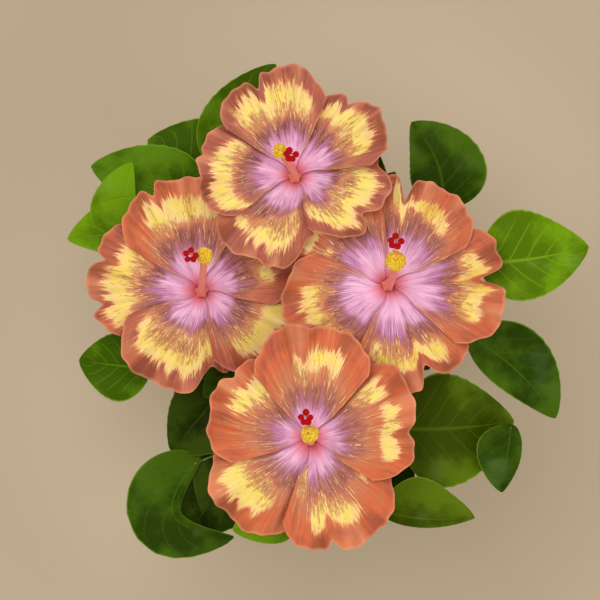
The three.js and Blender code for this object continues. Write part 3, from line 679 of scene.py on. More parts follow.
def petal_finish(name, bloom, paints):
    """Lilac heart, plum smoulder, yellow flames and a rose to coral rim."""
    cloth = Finish(f"petal_{name}", {"Specular IOR Level": 0.25, "Sheen Weight": 0.08})
    across, along = cloth.sheet()
    flame, warmth, hem, fold, under = (
        cloth.layer(kind) for kind in ("blaze", "warmth", "hem", "fold", "under"))
    edge = bloom["heart"]
    sway = cloth.grain(cloth.spot(across * 2.0, along * 2.0), detail=2.0)
    tongues = cloth.grain(cloth.spot(across * 8.5 + sway * 2.0, along * 1.4))
    threads = cloth.grain(cloth.spot(across * 34.0 + sway * 6.0, along * 1.7), roughness=0.6)
    dashes = cloth.grain(
        cloth.spot(across * 20.0 + sway * 4.0, along * 8.0), detail=5.0, roughness=0.7)
    clouds = cloth.grain(cloth.spot(across * 2.6, along * 4.0, 3.0), detail=4.0)
    inner = 1.0 - (along + clouds * 0.5).rise(edge * 0.4 + 0.37, edge * 0.4 + 0.67)

    # The heart: lilac, mauve further out, with pale and dark veins and a rose eye.
    lilac = cloth.blend(
        (along + clouds * 0.7).rise(edge * 0.35, edge * 0.95), paints.lilac, paints.mauve)
    lilac = cloth.blend(threads.rise(0.0, 0.16) * 0.6, lilac, paints.vein)
    dark_veins = threads.rise(-0.02, -0.16) * along.rise(0.08, edge)
    lilac = cloth.blend(dark_veins * 0.8, lilac, paints.thread)
    lilac = cloth.blend(1.0 - (along + threads * 0.3).rise(0.03, 0.22), lilac, paints.eye)

    # The ground and the rim: rose to coral, patchy, streaked, with painted shade in the dips of the
    # folds, painted highlight on their crests and a painted highlight along the edge.
    ground = cloth.blend(
        (warmth + clouds * 1.4 + tongues * 0.8).rise(0.0, 1.0), paints.rose, paints.coral)
    ground = cloth.blend(clouds.rise(0.02, -0.22) * 0.5, ground, paints.umber_and_shade)
    ground = cloth.blend(clouds.rise(0.02, 0.16) * 0.65, ground, paints.hazel)
    ground = cloth.blend((inner + clouds * 0.7) * (0.85 - hem * 0.4), ground, paints.tan)
    ground = cloth.blend(threads.rise(-0.02, -0.18) * (0.25 + inner * 0.4), ground, paints.plum)
    ground = cloth.blend(threads.rise(0.02, 0.16) * (0.2 + inner * 0.55), ground, paints.peach)
    ground = cloth.blend(fold.rise(0.5, 1.0) * 0.6, ground, paints.umber_and_shade)
    ground = cloth.blend(fold.rise(0.5, 0.0) * 0.4, ground, paints.hem)
    ground = cloth.blend(along.rise(0.965, 1.0) * 0.6, ground, paints.hem)

    # The heart's ragged edge, with a dull band and dark streaks round it.
    heart = 1.0 - (along + tongues * 0.3 + threads * 0.25).rise(edge - 0.08, edge + 0.07)
    colour = cloth.blend(heart * (1.0 - hem * 0.6), ground, lilac)
    off_band = abs(along + tongues * 0.25 - (edge + 0.05)) / 0.15
    band = (1.0 - off_band.rise(0.3, 1.0)) * (1.0 - hem * 0.7)
    streaks = (tongues * 0.8 + threads * 2.0 + dashes * 1.2).rise(-0.12, 0.12)
    colour = cloth.blend(band * (0.45 * bloom["smoulder"]), colour, paints.dusk)
    colour = cloth.blend(band * streaks * (0.95 * bloom["smoulder"]), colour, paints.plum)

    # The flames: cream to lemon and mustard, frayed, and broken up towards the heart.
    level = flame + tongues * 1.7 + threads * 1.6 + dashes * 1.3
    yellow = cloth.blend((level + clouds * 1.6).rise(0.45, 1.1), paints.cream, paints.lemon)
    deeper = (clouds * 3.0 + 0.4).rise(0.0, 1.0) * bloom["gold"]
    yellow = cloth.blend(deeper, yellow, paints.mustard)
    yellow = cloth.blend(threads.rise(0.04, 0.18) * 0.5, yellow, paints.cream)
    broken = dashes * 3.0 + threads * 2.0 + clouds * 2.6 + inner * 0.7
    yellow = cloth.blend(broken.rise(0.36, 0.6) * 0.85, yellow, paints.tan)
    flecks = dashes * 2.2 + threads + inner * 0.3 + clouds * 0.8
    yellow = cloth.blend(flecks.rise(0.28, 0.5) * 0.8, yellow, paints.umber_and_shade)
    lit = flame.rise(0.02, 0.3)
    colour = cloth.blend(level.rise(0.08, 0.42) * lit * 0.85, colour, paints.peach)
    colour = cloth.blend(level.rise(0.34, 0.5) * lit, colour, yellow)

    # Cream sparks between heart and flames, and shade where a neighbour lies on top.
    spark_level = (dashes * 1.6 + threads * 1.3).rise(0.13, 0.27)
    sparks = spark_level * (inner * 0.8 + lit * 0.4) * (1.0 - heart)
    colour = cloth.blend(sparks, colour, paints.cream)
    colour = cloth.blend(under * 0.6, colour, paints.umber_and_shade)

    relief = 0.5 + threads * 1.5 + tongues * 0.5
    return cloth.done(colour, 0.6 + clouds * 0.2, relief, depth=0.5, strength=0.5)


def petal_back_finish(paints):
    """The underside: one soft coral with long veins."""
    cloth = Finish("petal_back", {"Sheen Weight": 0.2, "Sheen Roughness": 0.5})
    across, along = cloth.sheet()
    veins = cloth.grain(cloth.spot(across * 30.0, along * 1.8))
    clouds = cloth.grain(cloth.spot(across * 3.0, along * 4.0), detail=2.0)
    colour = cloth.blend((along + clouds).rise(0.2, 0.9), paints.mauve, paints.coral)
    colour = cloth.blend((veins * 2.0 + 0.5).rise(0.3, 0.8) * 0.4, colour, paints.tan)
    return cloth.done(colour, 0.6, 0.5 + veins * 1.8, depth=0.6, strength=0.6)


def column_finish(name, paints):
    """Salmon pink, with a cream edge at the foot."""
    skin = Finish(name, {"Specular IOR Level": 0.3})
    across, along = skin.sheet()
    mottle = skin.grain(skin.place(), scale=500.0)
    ribs = skin.grain(skin.spot(across * 26.0, along), detail=2.0)
    colour = skin.blend(ribs.rise(-0.1, 0.2) * 0.25 + mottle * 0.3, paints.salmon, paints.eye)
    colour = skin.blend(along.rise(0.6, 0.53) * 0.85, colour, paints.cream)
    return skin.done(colour, 0.45, 0.5 + ribs * 1.4 + mottle * 0.6, depth=0.25, strength=0.6)


def pollen_finish(paints):
    """Gold grains in uneven patches of lit and shaded gold, with painted shade in the gaps between
    the grains.
    """
    dust = Finish("pollen", {"Specular IOR Level": 0.2})
    place = dust.place()
    grains = dust.cells(place, 2400.0)
    patches = dust.grain(place, scale=420.0, detail=2.0)
    colour = dust.blend((patches * 3.0 + 0.5).rise(0.2, 0.8), paints.pollen, paints.amber)
    # Painted shade: the shaded gold fills the gaps between the grains.
    colour = dust.blend(grains.rise(0.0, 0.12), paints.amber, colour)
    return dust.done(colour, 0.85, grains.rise(0.0, 0.3), depth=0.15, strength=0.8)


def velvet_finish(paints):
    """Deep red pads with a short pile."""
    pile = Finish("stigma_velvet", {
        "Specular IOR Level": 0.15, "Sheen Weight": 0.3, "Sheen Roughness": 0.35,
        "Sheen Tint": (1.0, 0.35, 0.3, 1.0)})
    hairs = pile.grain(pile.place(), scale=2600.0, detail=2.0)
    colour = pile.blend(hairs.rise(-0.12, 0.15), paints.garnet, paints.scarlet)
    return pile.done(colour, 0.8, 0.5 + hairs * 1.6, depth=0.3, strength=0.8)


def stalk_finish(name, dark, light):
    """A mottled green skin with short hairs."""
    skin = Finish(name, {"Sheen Weight": 0.15})
    place = skin.place()
    mottle = skin.grain(place, scale=180.0, detail=4.0)
    hairs = skin.grain(place, scale=1500.0, detail=1.0)
    colour = skin.blend((mottle * 2.4 + hairs * 0.8 + 0.5).rise(0.2, 0.8), dark, light)
    return skin.done(colour, 0.55 + mottle * 0.3, 0.5 + mottle * 0.5 + hairs, depth=0.2, strength=0.6)


def leaf_finish(tone, looks):
    """A glossy blade, quilted between a pale midrib and its side veins, with a light rim, painted
    shade towards its midrib and base, and patches of painted sheen.
    """
    matt, veins = LEAF_TONES[tone]
    blade, light = getattr(looks, tone), looks.light
    skin = Finish(f"leaf_{tone}", {
        "Specular IOR Level": 0.1, "Specular Tint": (0.8, 1.0, 0.3, 1.0)})
    place = skin.place()
    mottle = skin.grain(place, scale=38.0, detail=4.0)
    sheen = skin.grain(place, scale=24.0, detail=2.0)
    broad = skin.grain(place, scale=14.0, detail=1.0)
    net = skin.cells(place, 330.0)
    across, along = skin.sheet()
    off = abs(across * 2.0 - 1.0)
    midrib = 1.0 - (off / (1.25 - along)).rise(0.015, 0.06)
    branch = abs((along * 6.0 - off * 2.1 + mottle * 0.3).wrapped() - 0.5)
    branches = (1.0 - branch.rise(0.02, 0.1)) * (1.0 - off.rise(0.55, 0.98)) * off.rise(0.0, 0.06)
    vein = mixed(blade, light, 0.2)
    # Blotches at random, and painted shade that darkens the blade towards its midrib and base.
    tissue_and_shade = (mottle * 2.2 + broad * 2.4 + off * 0.3 + along * 0.2 + 0.2).rise(0.1, 0.95)
    colour = skin.blend(tissue_and_shade, [c * 0.5 for c in blade], mixed(blade, light, 0.1))
    colour = skin.blend(net.rise(0.07, 0.0) * 0.08, colour, vein)
    colour = skin.blend(sheen.rise(0.06, 0.22) * 0.3, colour, mixed(blade, LIGHT_SHEEN, 0.4))
    colour = skin.blend(branches * (0.5 * veins), colour, vein)
    colour = skin.blend(midrib * (0.2 + 0.6 * veins), colour, vein)
    colour = skin.blend(off.rise(0.955, 0.99) * 0.7, colour, mixed(blade, light, 0.5))
    relief = 0.75 + net.rise(0.0, 0.3) * 0.18 - branches * 0.4 - midrib * 0.5 + mottle * 0.5
    roughness = looks.gloss + matt + mottle * 0.3 + branches * 0.08
    return skin.done(colour, roughness, relief, depth=0.7, strength=0.7)


def leaf_back_finish(looks):
    """The matt underside, where the veins stand out."""
    blade, vein = looks.back, looks.light
    skin = Finish("leaf_back")
    across, along = skin.sheet()
    off = abs(across * 2.0 - 1.0)
    mottle = skin.grain(skin.place(), scale=60.0)
    midrib = 1.0 - (off / (1.25 - along)).rise(0.03, 0.1)
    branch = abs((along * 6.0 - off * 2.1).wrapped() - 0.5)
    branches = (1.0 - branch.rise(0.03, 0.13)) * (1.0 - off.rise(0.6, 0.98))
    colour = skin.blend((mottle * 2.0 + 0.5).rise(0.2, 0.8), blade, mixed(blade, vein, 0.4))
    colour = skin.blend((midrib + branches * 0.5) * 0.6, colour, vein)
    return skin.done(colour, 0.68, midrib + branches * 0.5 + mottle * 0.4, depth=0.6, strength=0.7)


def bark_finish(bark):
    """Grey-brown bark with pale pores and long cracks, greener on young wood."""
    rind = Finish("bark")
    place = rind.place()
    x, y, height = rind.parts(place)
    cracks = rind.grain(
        rind.spot(x * 420.0, y * 420.0, height * 70.0), detail=5.0, roughness=0.65)
    pores = rind.grain(rind.spot(x * 300.0, y * 300.0, height * 700.0), detail=1.0)
    clouds = rind.grain(place, scale=34.0)
    colour = rind.blend((cracks * 2.4 + 0.5).rise(0.15, 0.85), bark.crack, bark.rind)
    young = (height + clouds * 0.05).rise(0.09, 0.2)
    colour = rind.blend(young * 0.75, colour, bark.young)
    colour = rind.blend(pores.rise(0.16, 0.22) * 0.7, colour, bark.pore)
    relief = 0.5 + cracks * 1.5 + pores.rise(0.16, 0.24) * 0.4
    return rind.done(colour, 0.86 + cracks * 0.2, relief, depth=0.8, strength=0.9)


# -------------------------------------------------------------- trunk and boughs
def trunk_axis(height):
    share = height / FORK_HEIGHT
    sway = TRUNK_SWAY * math.sin(math.pi * share)
    return np.array((TRUNK_LEAN[0] * share + sway, TRUNK_LEAN[1] * share, height))


def trunk_radius(height):
    flare = (FLARE_RADIUS - TRUNK_RADIUS) * np.exp(-np.maximum(height, 0) / FLARE_HEIGHT)
    stem = TRUNK_RADIUS + (FORK_RADIUS - TRUNK_RADIUS) * height / FORK_HEIGHT
    crown = smoothstep(height, FORK_HEIGHT - CROWN_HEIGHT, FORK_HEIGHT)
    return (stem + flare) * (1 - CROWN_SHRINK * crown)


def bough_curve(leave, tip):
    """From inside the trunk out and up to a tip, steepening on the way."""
    start = trunk_axis(leave)
    end = np.array(tip, float)
    return Curve([start + (end - start) * (out, out, up) for out, up in BOUGH_BEND])


def low_tip(bough):
    angle = math.radians(bough["bearing"])
    return bough["reach"] * math.cos(angle), bough["reach"] * math.sin(angle), bough["height"]


def roughen(piece, depth, seed):
    """Pushes a limb's skin in and out, in long cracks and lumps."""
    mesh = piece.data
    for corner in mesh.vertices:
        spot = corner.co / MM
        stretched = Vector((spot.x * 0.55, spot.y * 0.55, spot.z * 0.09 + seed))
        cracks = noise.fractal(stretched, 1.0, 2.0, 4)
        lumps = noise.noise(spot * 0.11 + Vector((seed, 0, 0)))
        corner.co += corner.normal * (depth * (0.6 * cracks + 0.9 * lumps) * MM)
    mesh.update()


class HIBISCUS_OT_bark(bpy.types.Operator):
    """Models the trunk and the eight boughs with the relief of their bark"""

    bl_idname = "hibiscus.bark"
    bl_label = "Trunk and boughs"

    def execute(self, context):
        bark = context.scene.hibiscus_bark
        rind = bark_finish(bark)
        self.trunk(bark, rind)
        blank = rod_blank(20, 56)
        for index, (name, bough) in enumerate(HIGH_BOUGHS.items()):
            curve = bough_curve(bough["leave"], bough["tip"])
            self.bough(f"bough_{name}", blank, curve, bough["radius"], index, bark, rind)
        for index, (name, bough) in enumerate(LOW_BOUGHS.items()):
            curve = bough_curve(bough["leave"], low_tip(bough))
            self.bough(f"bough_low_{name}", blank, curve, LOW_BOUGH_RADIUS, index + 4, bark, rind)
        return {"FINISHED"}

    @staticmethod
    def trunk(bark, rind):
        """A ribbed foot, cut flat at ground level, and a rounded top under the fork."""
        curve = Curve([trunk_axis(height) for height in TRUNK_STOPS])

        def radius(along, around):
            height = TRUNK_FOOT + along * (FORK_HEIGHT - TRUNK_FOOT)
            fade = np.exp(-np.maximum(height, 0) / RIB_HEIGHT)
            ribs = RIB_DEPTH * np.cos(ROOT_LOBES * around + 0.6) * fade
            return trunk_radius(height) * (1 + ribs)

        piece = limb(rod_blank(48, 72), curve, radius)
        roughen(piece, bark.relief, 3.0)
        only(piece)
        bpy.ops.object.mode_set(mode="EDIT")
        bpy.ops.mesh.select_all(action="SELECT")
        bpy.ops.mesh.bisect(plane_co=(0, 0, 0), plane_no=(0, 0, 1), use_fill=True, clear_inner=True)
        bpy.ops.object.mode_set(mode="OBJECT")
        coat(piece, rind)
        settle(joined("bark_trunk", [piece]), "bark", "trunk")

    @staticmethod
    def bough(node, blank, curve, radius, index, bark, rind):
        """A limb with a collar where it parts and a swelling at each old leaf."""

        def thickness(along, around):
            collar = COLLAR_SWELL * bump(along, 0.1, 0.08)
            step = (along * SCARS + 0.2 * index) % 1
            knots = SCAR_SWELL * bump(step, 0.5, 0.09) * np.sin(np.pi * along)
            return (radius + (STEM_RADIUS - radius) * along) * (1 + collar + knots)

        piece = limb(blank, curve, thickness)
        roughen(piece, bark.relief * 0.5, 10.0 + index)
        coat(piece, rind)
        settle(joined(node.replace("bough", "bark_bough"), [piece]), "bark", node)


# ---------------------------------------------------------------------- foliage
def leaf_surface(leaf):
    """The upper face of a leaf as a function of where a point lies across and along it."""
    base = np.array(leaf["base"], float)
    chord = np.array(leaf["tip"], float) - base
    length = np.linalg.norm(chord)
    right = unit(np.cross(chord, (0, 0, 1)))
    up = unit(np.cross(right, chord))
    bow, teeth = leaf.get("bow", 0), leaf.get("teeth", 0)
    fold, wave = leaf.get("fold", LEAF_FOLD), leaf.get("wave", LEAF_WAVE)

    def place(u, v):
        swell = np.maximum(np.sin(np.pi * v ** 0.72), 0) ** 0.75
        half = np.where(u < 0, leaf["left"], leaf["right"]) * swell + 0.7
        edge = smoothstep(v, 0.25, 0.5) * smoothstep(np.abs(u), 0.8, 1)
        notch = teeth * edge * (1 - (v * 11) % 1)
        slope = bow * np.pi * np.cos(np.pi * v) / length
        width = u * half * (1 - notch) / np.sqrt(1 + slope ** 2)
        side = bow * np.sin(np.pi * v) + width
        lift = (leaf["arch"] * length * (np.sin(np.pi * v) - 0.9 * v * v)
                + fold * np.abs(u) * half
                + wave * u * u * np.sin(5 * v + 2 * u + leaf["phase"]) * swell)
        far = v - slope * width / length
        return base + np.outer(far, chord) + np.outer(side, right) + np.outer(lift, up)

    return place


def leaf_piece(blank, leaf):
    """One leaf as a sheet in its tone of green."""
    spots = points_of(blank)
    piece = shaped(blank, leaf_surface(leaf)(spots[:, 0], (spots[:, 1] + 1) / 2))
    tone = TONES.index(leaf["tone"])
    piece.data.polygons.foreach_set("material_index", [tone] * len(piece.data.polygons))
    return piece


def stalk_piece(blank, leaf, root, thickness):
    """The stalk from the stem to a leaf's base, swollen at both ends."""
    inside = leaf_surface(leaf)(np.array([0.0]), np.array([0.06]))[0]
    if "via" in leaf:
        middle = np.array(leaf["via"], float)
    else:
        middle = (root + inside) / 2 - (0, 0, 0.08 * np.linalg.norm(inside - root))

    def radius(along, around):
        ends = 0.5 * bump(along, 0, 0.06) + 0.25 * bump(along, 0.93, 0.06)
        return thickness * (1 - 0.35 * along) * (1 + ends)

    return limb(blank, Curve([root, middle, inside]), radius)


def keeps_in(leaf, space):
    """Whether every edge point of a leaf lies in its mass's own space."""
    v, u = np.meshgrid([0, 0.15, 0.3, 0.5, 0.7, 0.85, 1], [-1, 0, 1])
    return all(space(spot) for spot in leaf_surface(leaf)(u.ravel(), v.ravel()))


def even_leaf(base, heading, length, half, arch, phase, tone):
    """A leaf that is as wide on its left as on its right."""
    return {
        "base": base, "tip": base + heading * length, "left": half, "right": half,
        "arch": arch, "phase": phase, "tone": TONES[tone]}


def seeded_leaves(curve, habit, seed, bearing, space):
    """Leaves set up a stem by the golden ratio; those that would leave the space are skipped."""
    draw = seeded(seed)
    start = next(draw)
    low, high = habit["span"]
    grown = []
    for i in range(habit["count"]):
        root = curve.at(low + (high - low) * i / (habit["count"] - 1))
        turn = (start + i * GOLDEN) % 1
        angle = math.radians(bearing + habit["fan"] * (2 * turn - 1))
        heading = direction(angle, math.radians(between(*habit["pitch"], draw)))
        length = between(*habit["size"], draw)
        base = root + heading * between(*LEAF_STALK, draw)
        half = length * between(*LEAF_HALF, draw)
        leaf = even_leaf(base, heading, length, half, LEAF_ARCH, i, 1 + (i + seed) % 3)
        if keeps_in(leaf, space):
            grown.append((leaf, root))
    return grown


def side_shoots(curve, count, habit, seed, bearing, space):
    """Finer twigs off a stem, each with a row of leaves to its tip, in the same space."""
    draw = seeded(seed)
    shoots = []
    for i in range(count):
        root = curve.at(between(*habit["span"], draw))
        turn = (i * GOLDEN + next(draw) * 0.1) % 1
        angle = math.radians(bearing + habit["fan"] * (2 * turn - 1))
        ahead = direction(angle, math.radians(between(*SHOOT_PITCH, draw)))
        reach = between(*SHOOT_REACH, draw)
        twig = Curve([root, root + ahead * reach * 0.5 - (0, 0, 2), root + ahead * reach])
        leaves = []
        for j, (share, aside) in enumerate(SHOOT_LEAVES):
            scatter = between(-SHOOT_SCATTER, SHOOT_SCATTER, draw)
            climb = between(*SHOOT_LEAF_PITCH, draw)
            out = direction(angle + math.radians(aside + scatter), math.radians(climb))
            foot = twig.at(share)
            base = foot + out * between(*SHOOT_LEAF_STALK, draw)
            length = between(*SHOOT_LEAF_SIZE, draw)
            half = length * between(*SHOOT_LEAF_HALF, draw)
            tone = (i + 2 * j + seed) % 4
            leaf = even_leaf(base, out, length, half, SHOOT_LEAF_ARCH, i + j, tone)
            if keeps_in(leaf, space):
                leaves.append((leaf, foot))
        if leaves:
            shoots.append((twig, leaves))
    return shoots


def to_bloom(bloom, points):
    """Points given in a bloom's own frame, in the shrub's frame."""
    east, north = (math.radians(angle) for angle in bloom["lean"])
    turn = Matrix.Rotation(-north, 3, "X") @ Matrix.Rotation(east, 3, "Y")
    return np.asarray(points) @ np.array(turn).T + bloom["place"]


def high_stem(name):
    """From a high bough's tip up to the flower's stalk."""
    bloom = BLOOMS[name]
    bough = bough_curve(HIGH_BOUGHS[name]["leave"], HIGH_BOUGHS[name]["tip"])
    tip, heading = bough.at(1.0), bough.heading(1.0)
    under = to_bloom(bloom, [(0, 0, -STALK_LENGTH - 22), (0, 0, -STALK_LENGTH)])
    return Curve([tip, tip + heading * STEM_RUN, *under])


def high_space(name):
    """The room of a high mass, as a test of a point: under its bloom, clear of the others."""
    centre = BLOOMS[name]["place"]
    rivals = [bloom["place"] for bloom in BLOOMS.values() if bloom["place"] != centre]

    def space(spot):
        away = math.hypot(spot[0] - centre[0], spot[1] - centre[1])
        apart = all(math.hypot(spot[0] - x, spot[1] - y) > away + RIVAL_CLEAR for x, y, _ in rivals)
        return INNER_FLOOR < spot[2] < centre[2] - INNER_DROP and away < INNER_RADIUS and apart

    return space


def low_stem(bough):
    """From a low bough's tip outwards and up."""
    lower = bough_curve(bough["leave"], low_tip(bough))
    tip, heading = lower.at(1.0), lower.heading(1.0)
    outward = unit(np.array((tip[0], tip[1], 0)))
    rise = [tip + outward * out + (0, 0, up) for out, up in LOW_STEM]
    return Curve([tip, tip + heading * STEM_RUN, *rise])


def low_space(bough):
    """The room of a low mass, as a test of a point: a sector round the trunk."""

    def space(spot):
        turn = math.degrees(math.atan2(spot[1], spot[0])) - bough["bearing"]
        off = abs((turn + 540) % 360 - 180)
        away = math.hypot(spot[0], spot[1])
        level = LOW_FLOOR < spot[2] < LOW_CEILING
        return level and LOW_CLEAR < away < LOW_RADIUS and off < LOW_SECTOR

    return space


class HIBISCUS_OT_foliage(bpy.types.Operator):
    """Grows the twigs and the leaves of the eight masses of foliage"""

    bl_idname = "hibiscus.foliage"
    bl_label = "Twigs and leaves"

    def execute(self, context):
        self.looks = looks = context.scene.hibiscus_leaves
        self.leaf_coats = [leaf_finish(tone, looks) for tone in TONES]
        self.leaf_coats.append(leaf_back_finish(looks))
        self.twig_coat = stalk_finish("twig", looks.twig, looks.stalk)
        self.wide_blank = sheet_blank(20, 34)
        self.small_blank = sheet_blank(8, 13)
        self.stalk_blank = rod_blank(7, 8)
        self.stem_blank = rod_blank(14, 30)
        for index, name in enumerate(BLOOMS):
            self.high_mass(name, 31 + 17 * index)
        for index, name in enumerate(LOW_BOUGHS):
            self.low_mass(name, 5 + 23 * index)
        return {"FINISHED"}

    def high_mass(self, name, seed):
        curve = high_stem(name)
        space = high_space(name)
        inner = seeded_leaves(curve, INNER_LEAVES, seed, 0, space)
        shoots = side_shoots(curve, self.looks.high_shoots, HIGH_SHOOTS, seed + 3, 0, space)
        rim = []
        for index, (tone, base, tip, left, right, rest) in enumerate(RIM_LEAVES[name]):
            leaf = {
                "tone": tone, "base": base, "tip": tip, "left": left, "right": right,
                "arch": RIM_ARCH, "phase": index, "teeth": RIM_TEETH, **rest}
            share = RIM_START + RIM_RUN * index / len(RIM_LEAVES[name])
            rim.append((leaf, curve.at(share)))
        self.grow(f"foliage_{name}", curve, HIGH_STEM_TIP, inner, shoots, rim)

    def low_mass(self, name, seed):
        bough = LOW_BOUGHS[name]
        curve = low_stem(bough)
        space = low_space(bough)
        bearing = bough["bearing"]
        leaves = seeded_leaves(curve, LOW_LEAVES, seed, bearing, space)
        shoots = side_shoots(curve, self.looks.low_shoots, LOW_SHOOTS, seed + 3, bearing, space)
        self.grow(f"foliage_low_{name}", curve, LOW_STEM_TIP, leaves, shoots, [])

    def grow(self, node, curve, tip_radius, leaves, shoots, rim):
        """One piece of twigs and one of leaves for a mass."""
        twigs = [limb(self.stem_blank, curve, taper(STEM_RADIUS, tip_radius))]
        blades = [leaf_piece(self.wide_blank, leaf) for leaf, _ in rim]
        blades += [leaf_piece(self.small_blank, leaf) for leaf, _ in leaves]
        twigs += [stalk_piece(self.stalk_blank, leaf, root, STALK_RADIUS)
                  for leaf, root in rim + leaves]
        for twig, grown in shoots:
            twigs.append(limb(self.stalk_blank, twig, taper(SHOOT_RADIUS, THIN_STALK_RADIUS)))
            blades += [leaf_piece(self.small_blank, leaf) for leaf, _ in grown]
            twigs += [stalk_piece(self.stalk_blank, leaf, root, THIN_STALK_RADIUS)
                      for leaf, root in grown]
        for blade in blades:
            coat(blade, *self.leaf_coats)
        leafage = joined(node.replace("foliage", "leaves"), blades)
        thicken(leafage, self.looks.thickness, len(TONES))
        settle(leafage, "foliage", node)
        wood = joined(node.replace("foliage", "twigs"), twigs)
        coat(wood, self.twig_coat)
        settle(wood, "foliage", node)


# ----------------------------------------------------------------------- blooms
def ripple(draw, turns, height):
    """A wavy line of u: a few waves, the shorter the lower, each from its own start."""
    waves = [(turn * (0.85 + 0.3 * next(draw)), math.tau * next(draw)) for turn in turns]
    return lambda u: sum(
        height * (turns[0] / turn) ** 0.6 * np.sin(turn * u + start) for turn, start in waves)


def petal_surface(petal, index, edges, claws):
    """A funnel that opens into a ruffled fan, as a function of u across and v along it."""
    length = petal["length"]
    skew, ruffle = petal.get("skew", 0), petal.get("ruffle", PETAL_RUFFLE)
    dents = petal.get("dents", [])
    draw = seeded(petal["angle"] % 360 + 11)
    frills = ripple(draw, (6, 11, 19), FRILL_HEIGHT)
    pleats = ripple(draw, (11, 17, 26, 41), PLEAT_HEIGHT)
    rim = ripple(draw, (6, 11, 18, 31), RIM_WOBBLE)

    def reach_at(u):
        rounded = 1 - PETAL_ROUNDNESS * np.abs(u) ** 3.4
        dented = 1 - sum(depth * bump(u, at, width) for at, width, depth in dents)
        return length * rounded * dented * (1 + rim(u)) * (1 + skew * u)

    def place(u, v):
        reach = reach_at(u)
        radius = PETAL_EYE + (reach - PETAL_EYE) * v ** 1.5
        side = np.where(u < 0, edges[0], edges[1])
        claw = np.where(u < 0, claws[0], claws[1])
        half = np.radians(claw + (petal["spread"] - claw) * smoothstep(radius, 4, 30))
        outer = (radius / length) ** 2.5
        free = 1 - smoothstep(np.abs(u), 0.35, 0.75)
        waves = np.sin(6.3 * u + 1.9 * index) + 0.6 * np.sin(9.4 * u + 3.1 * index)
        creases = sum(depth * bump(u, at, 1.5 * width) for at, width, depth in dents)
        folds = outer ** 2 * (frills(u) * (0.4 + 0.6 * free) - CREASE_DEPTH * creases)
        height = (-THROAT_DEPTH * np.exp(-(radius - PETAL_EYE) / THROAT_WIDTH)
                  + side * PETAL_OVERLAP * u * u * smoothstep(radius, 3, 9)
                  + side * EDGE_LIFT * outer * smoothstep(np.abs(u), 0.4, 1)
                  + outer * (ruffle * waves * (0.2 + 0.8 * free) - PETAL_CURL * outer)
                  + folds + pleats(u) * smoothstep(radius / length, 0.25, 0.8))
        flat = (radius * np.cos(half * u), radius * np.sin(half * u), height)
        # The third number, fold, drives painted light: above 0.5 in the dips of the folds it paints
        # shade, below 0.5 on their crests it paints highlight.
        return np.stack(flat, axis=1), radius / reach, np.clip(0.5 - folds / 11, 0, 1)

    return place


class HIBISCUS_OT_petals(bpy.types.Operator):
    """Models the twenty petals, ruffled and lapped over each other"""

    bl_idname = "hibiscus.petals"
    bl_label = "Petals"

    def execute(self, context):
        looks = context.scene.hibiscus_blooms
        back = petal_back_finish(looks)
        blank = sheet_blank(looks.petal_detail, looks.petal_detail * 5 // 8)
        for name, bloom in BLOOMS.items():
            front = petal_finish(name, bloom, looks)
            for index, petal in enumerate(bloom["petals"]):
                piece = self.petal(blank, bloom, petal, index)
                coat(piece, front, back)
                thicken(piece, looks.petal_thickness, 1)
                piece = joined(f"petal_{name}_{index + 1}", [piece])
                settle(piece, "petal", f"bloom_{name}_petal_{index + 1}")
        return {"FINISHED"}

    @staticmethod
    def petal(blank, bloom, petal, index):
        """One petal as a sheet, with what its finish reads: its map and five layers."""
        spots = points_of(blank)
        u, v = -spots[:, 0], (spots[:, 1] + 1) / 2
        edges = bloom["laps"][index], -bloom["laps"][index - 1]
        after, before = bloom["petals"][(index + 1) % 5], bloom["petals"][index - 1]
        gaps = (petal["angle"] - after["angle"]) % 360, (before["angle"] - petal["angle"]) % 360
        claws = [CLAW_ANGLE if edge > 0 else gap - CLAW_ANGLE + CLAW_OVERLAP
                 for edge, gap in zip(edges, gaps)]
        points, share, fold = petal_surface(petal, index, edges, claws)(u, v)
        turn = np.array(Matrix.Rotation(math.radians(petal["angle"]), 3, "Z"))
        piece = shaped(blank, to_bloom(bloom, points @ turn.T))
        mesh = piece.data
        corners = np.empty(len(mesh.loops), int)
        mesh.loops.foreach_get("vertex_index", corners)
        where = np.stack([u + 4 * index, share], axis=1)[corners]
        mesh.uv_layers["sheet"].data.foreach_set("uv", where.ravel())
        flame = sum(bump(u, at, width) * bump(share, out, depth)
                    for at, out, width, depth in petal["flames"])
        number_layer(mesh, "blaze", np.minimum(flame, 1))
        # fold: painted shade in the folds' dips and painted highlight on their crests.
        number_layer(mesh, "fold", fold)
        number_layer(mesh, "warmth", np.full(len(u), petal.get("warmth", bloom["warmth"])))
        number_layer(mesh, "hem", smoothstep(np.abs(u), 0.66, 0.98) * smoothstep(share, 0.2, 0.42))
        reach = [gap / 2 / petal["spread"] for gap in gaps]
        lapped = [smoothstep(side * u, far - 0.22, far + 0.06) * (edge < 0)
                  for side, far, edge in zip((-1, 1), reach, edges)]
        number_layer(mesh, "under", (lapped[0] + lapped[1]) * smoothstep(share, 0.06, 0.3))
        return piece


def column_curve(bloom):
    east, north = bloom["anthers"]
    points = [(0, 0, -THROAT_DEPTH - 1), (0, 0, -8), (east * 0.4, north * 0.4, 24),
              (east, north, ANTHER_HEIGHT)]
    return Curve(to_bloom(bloom, points))


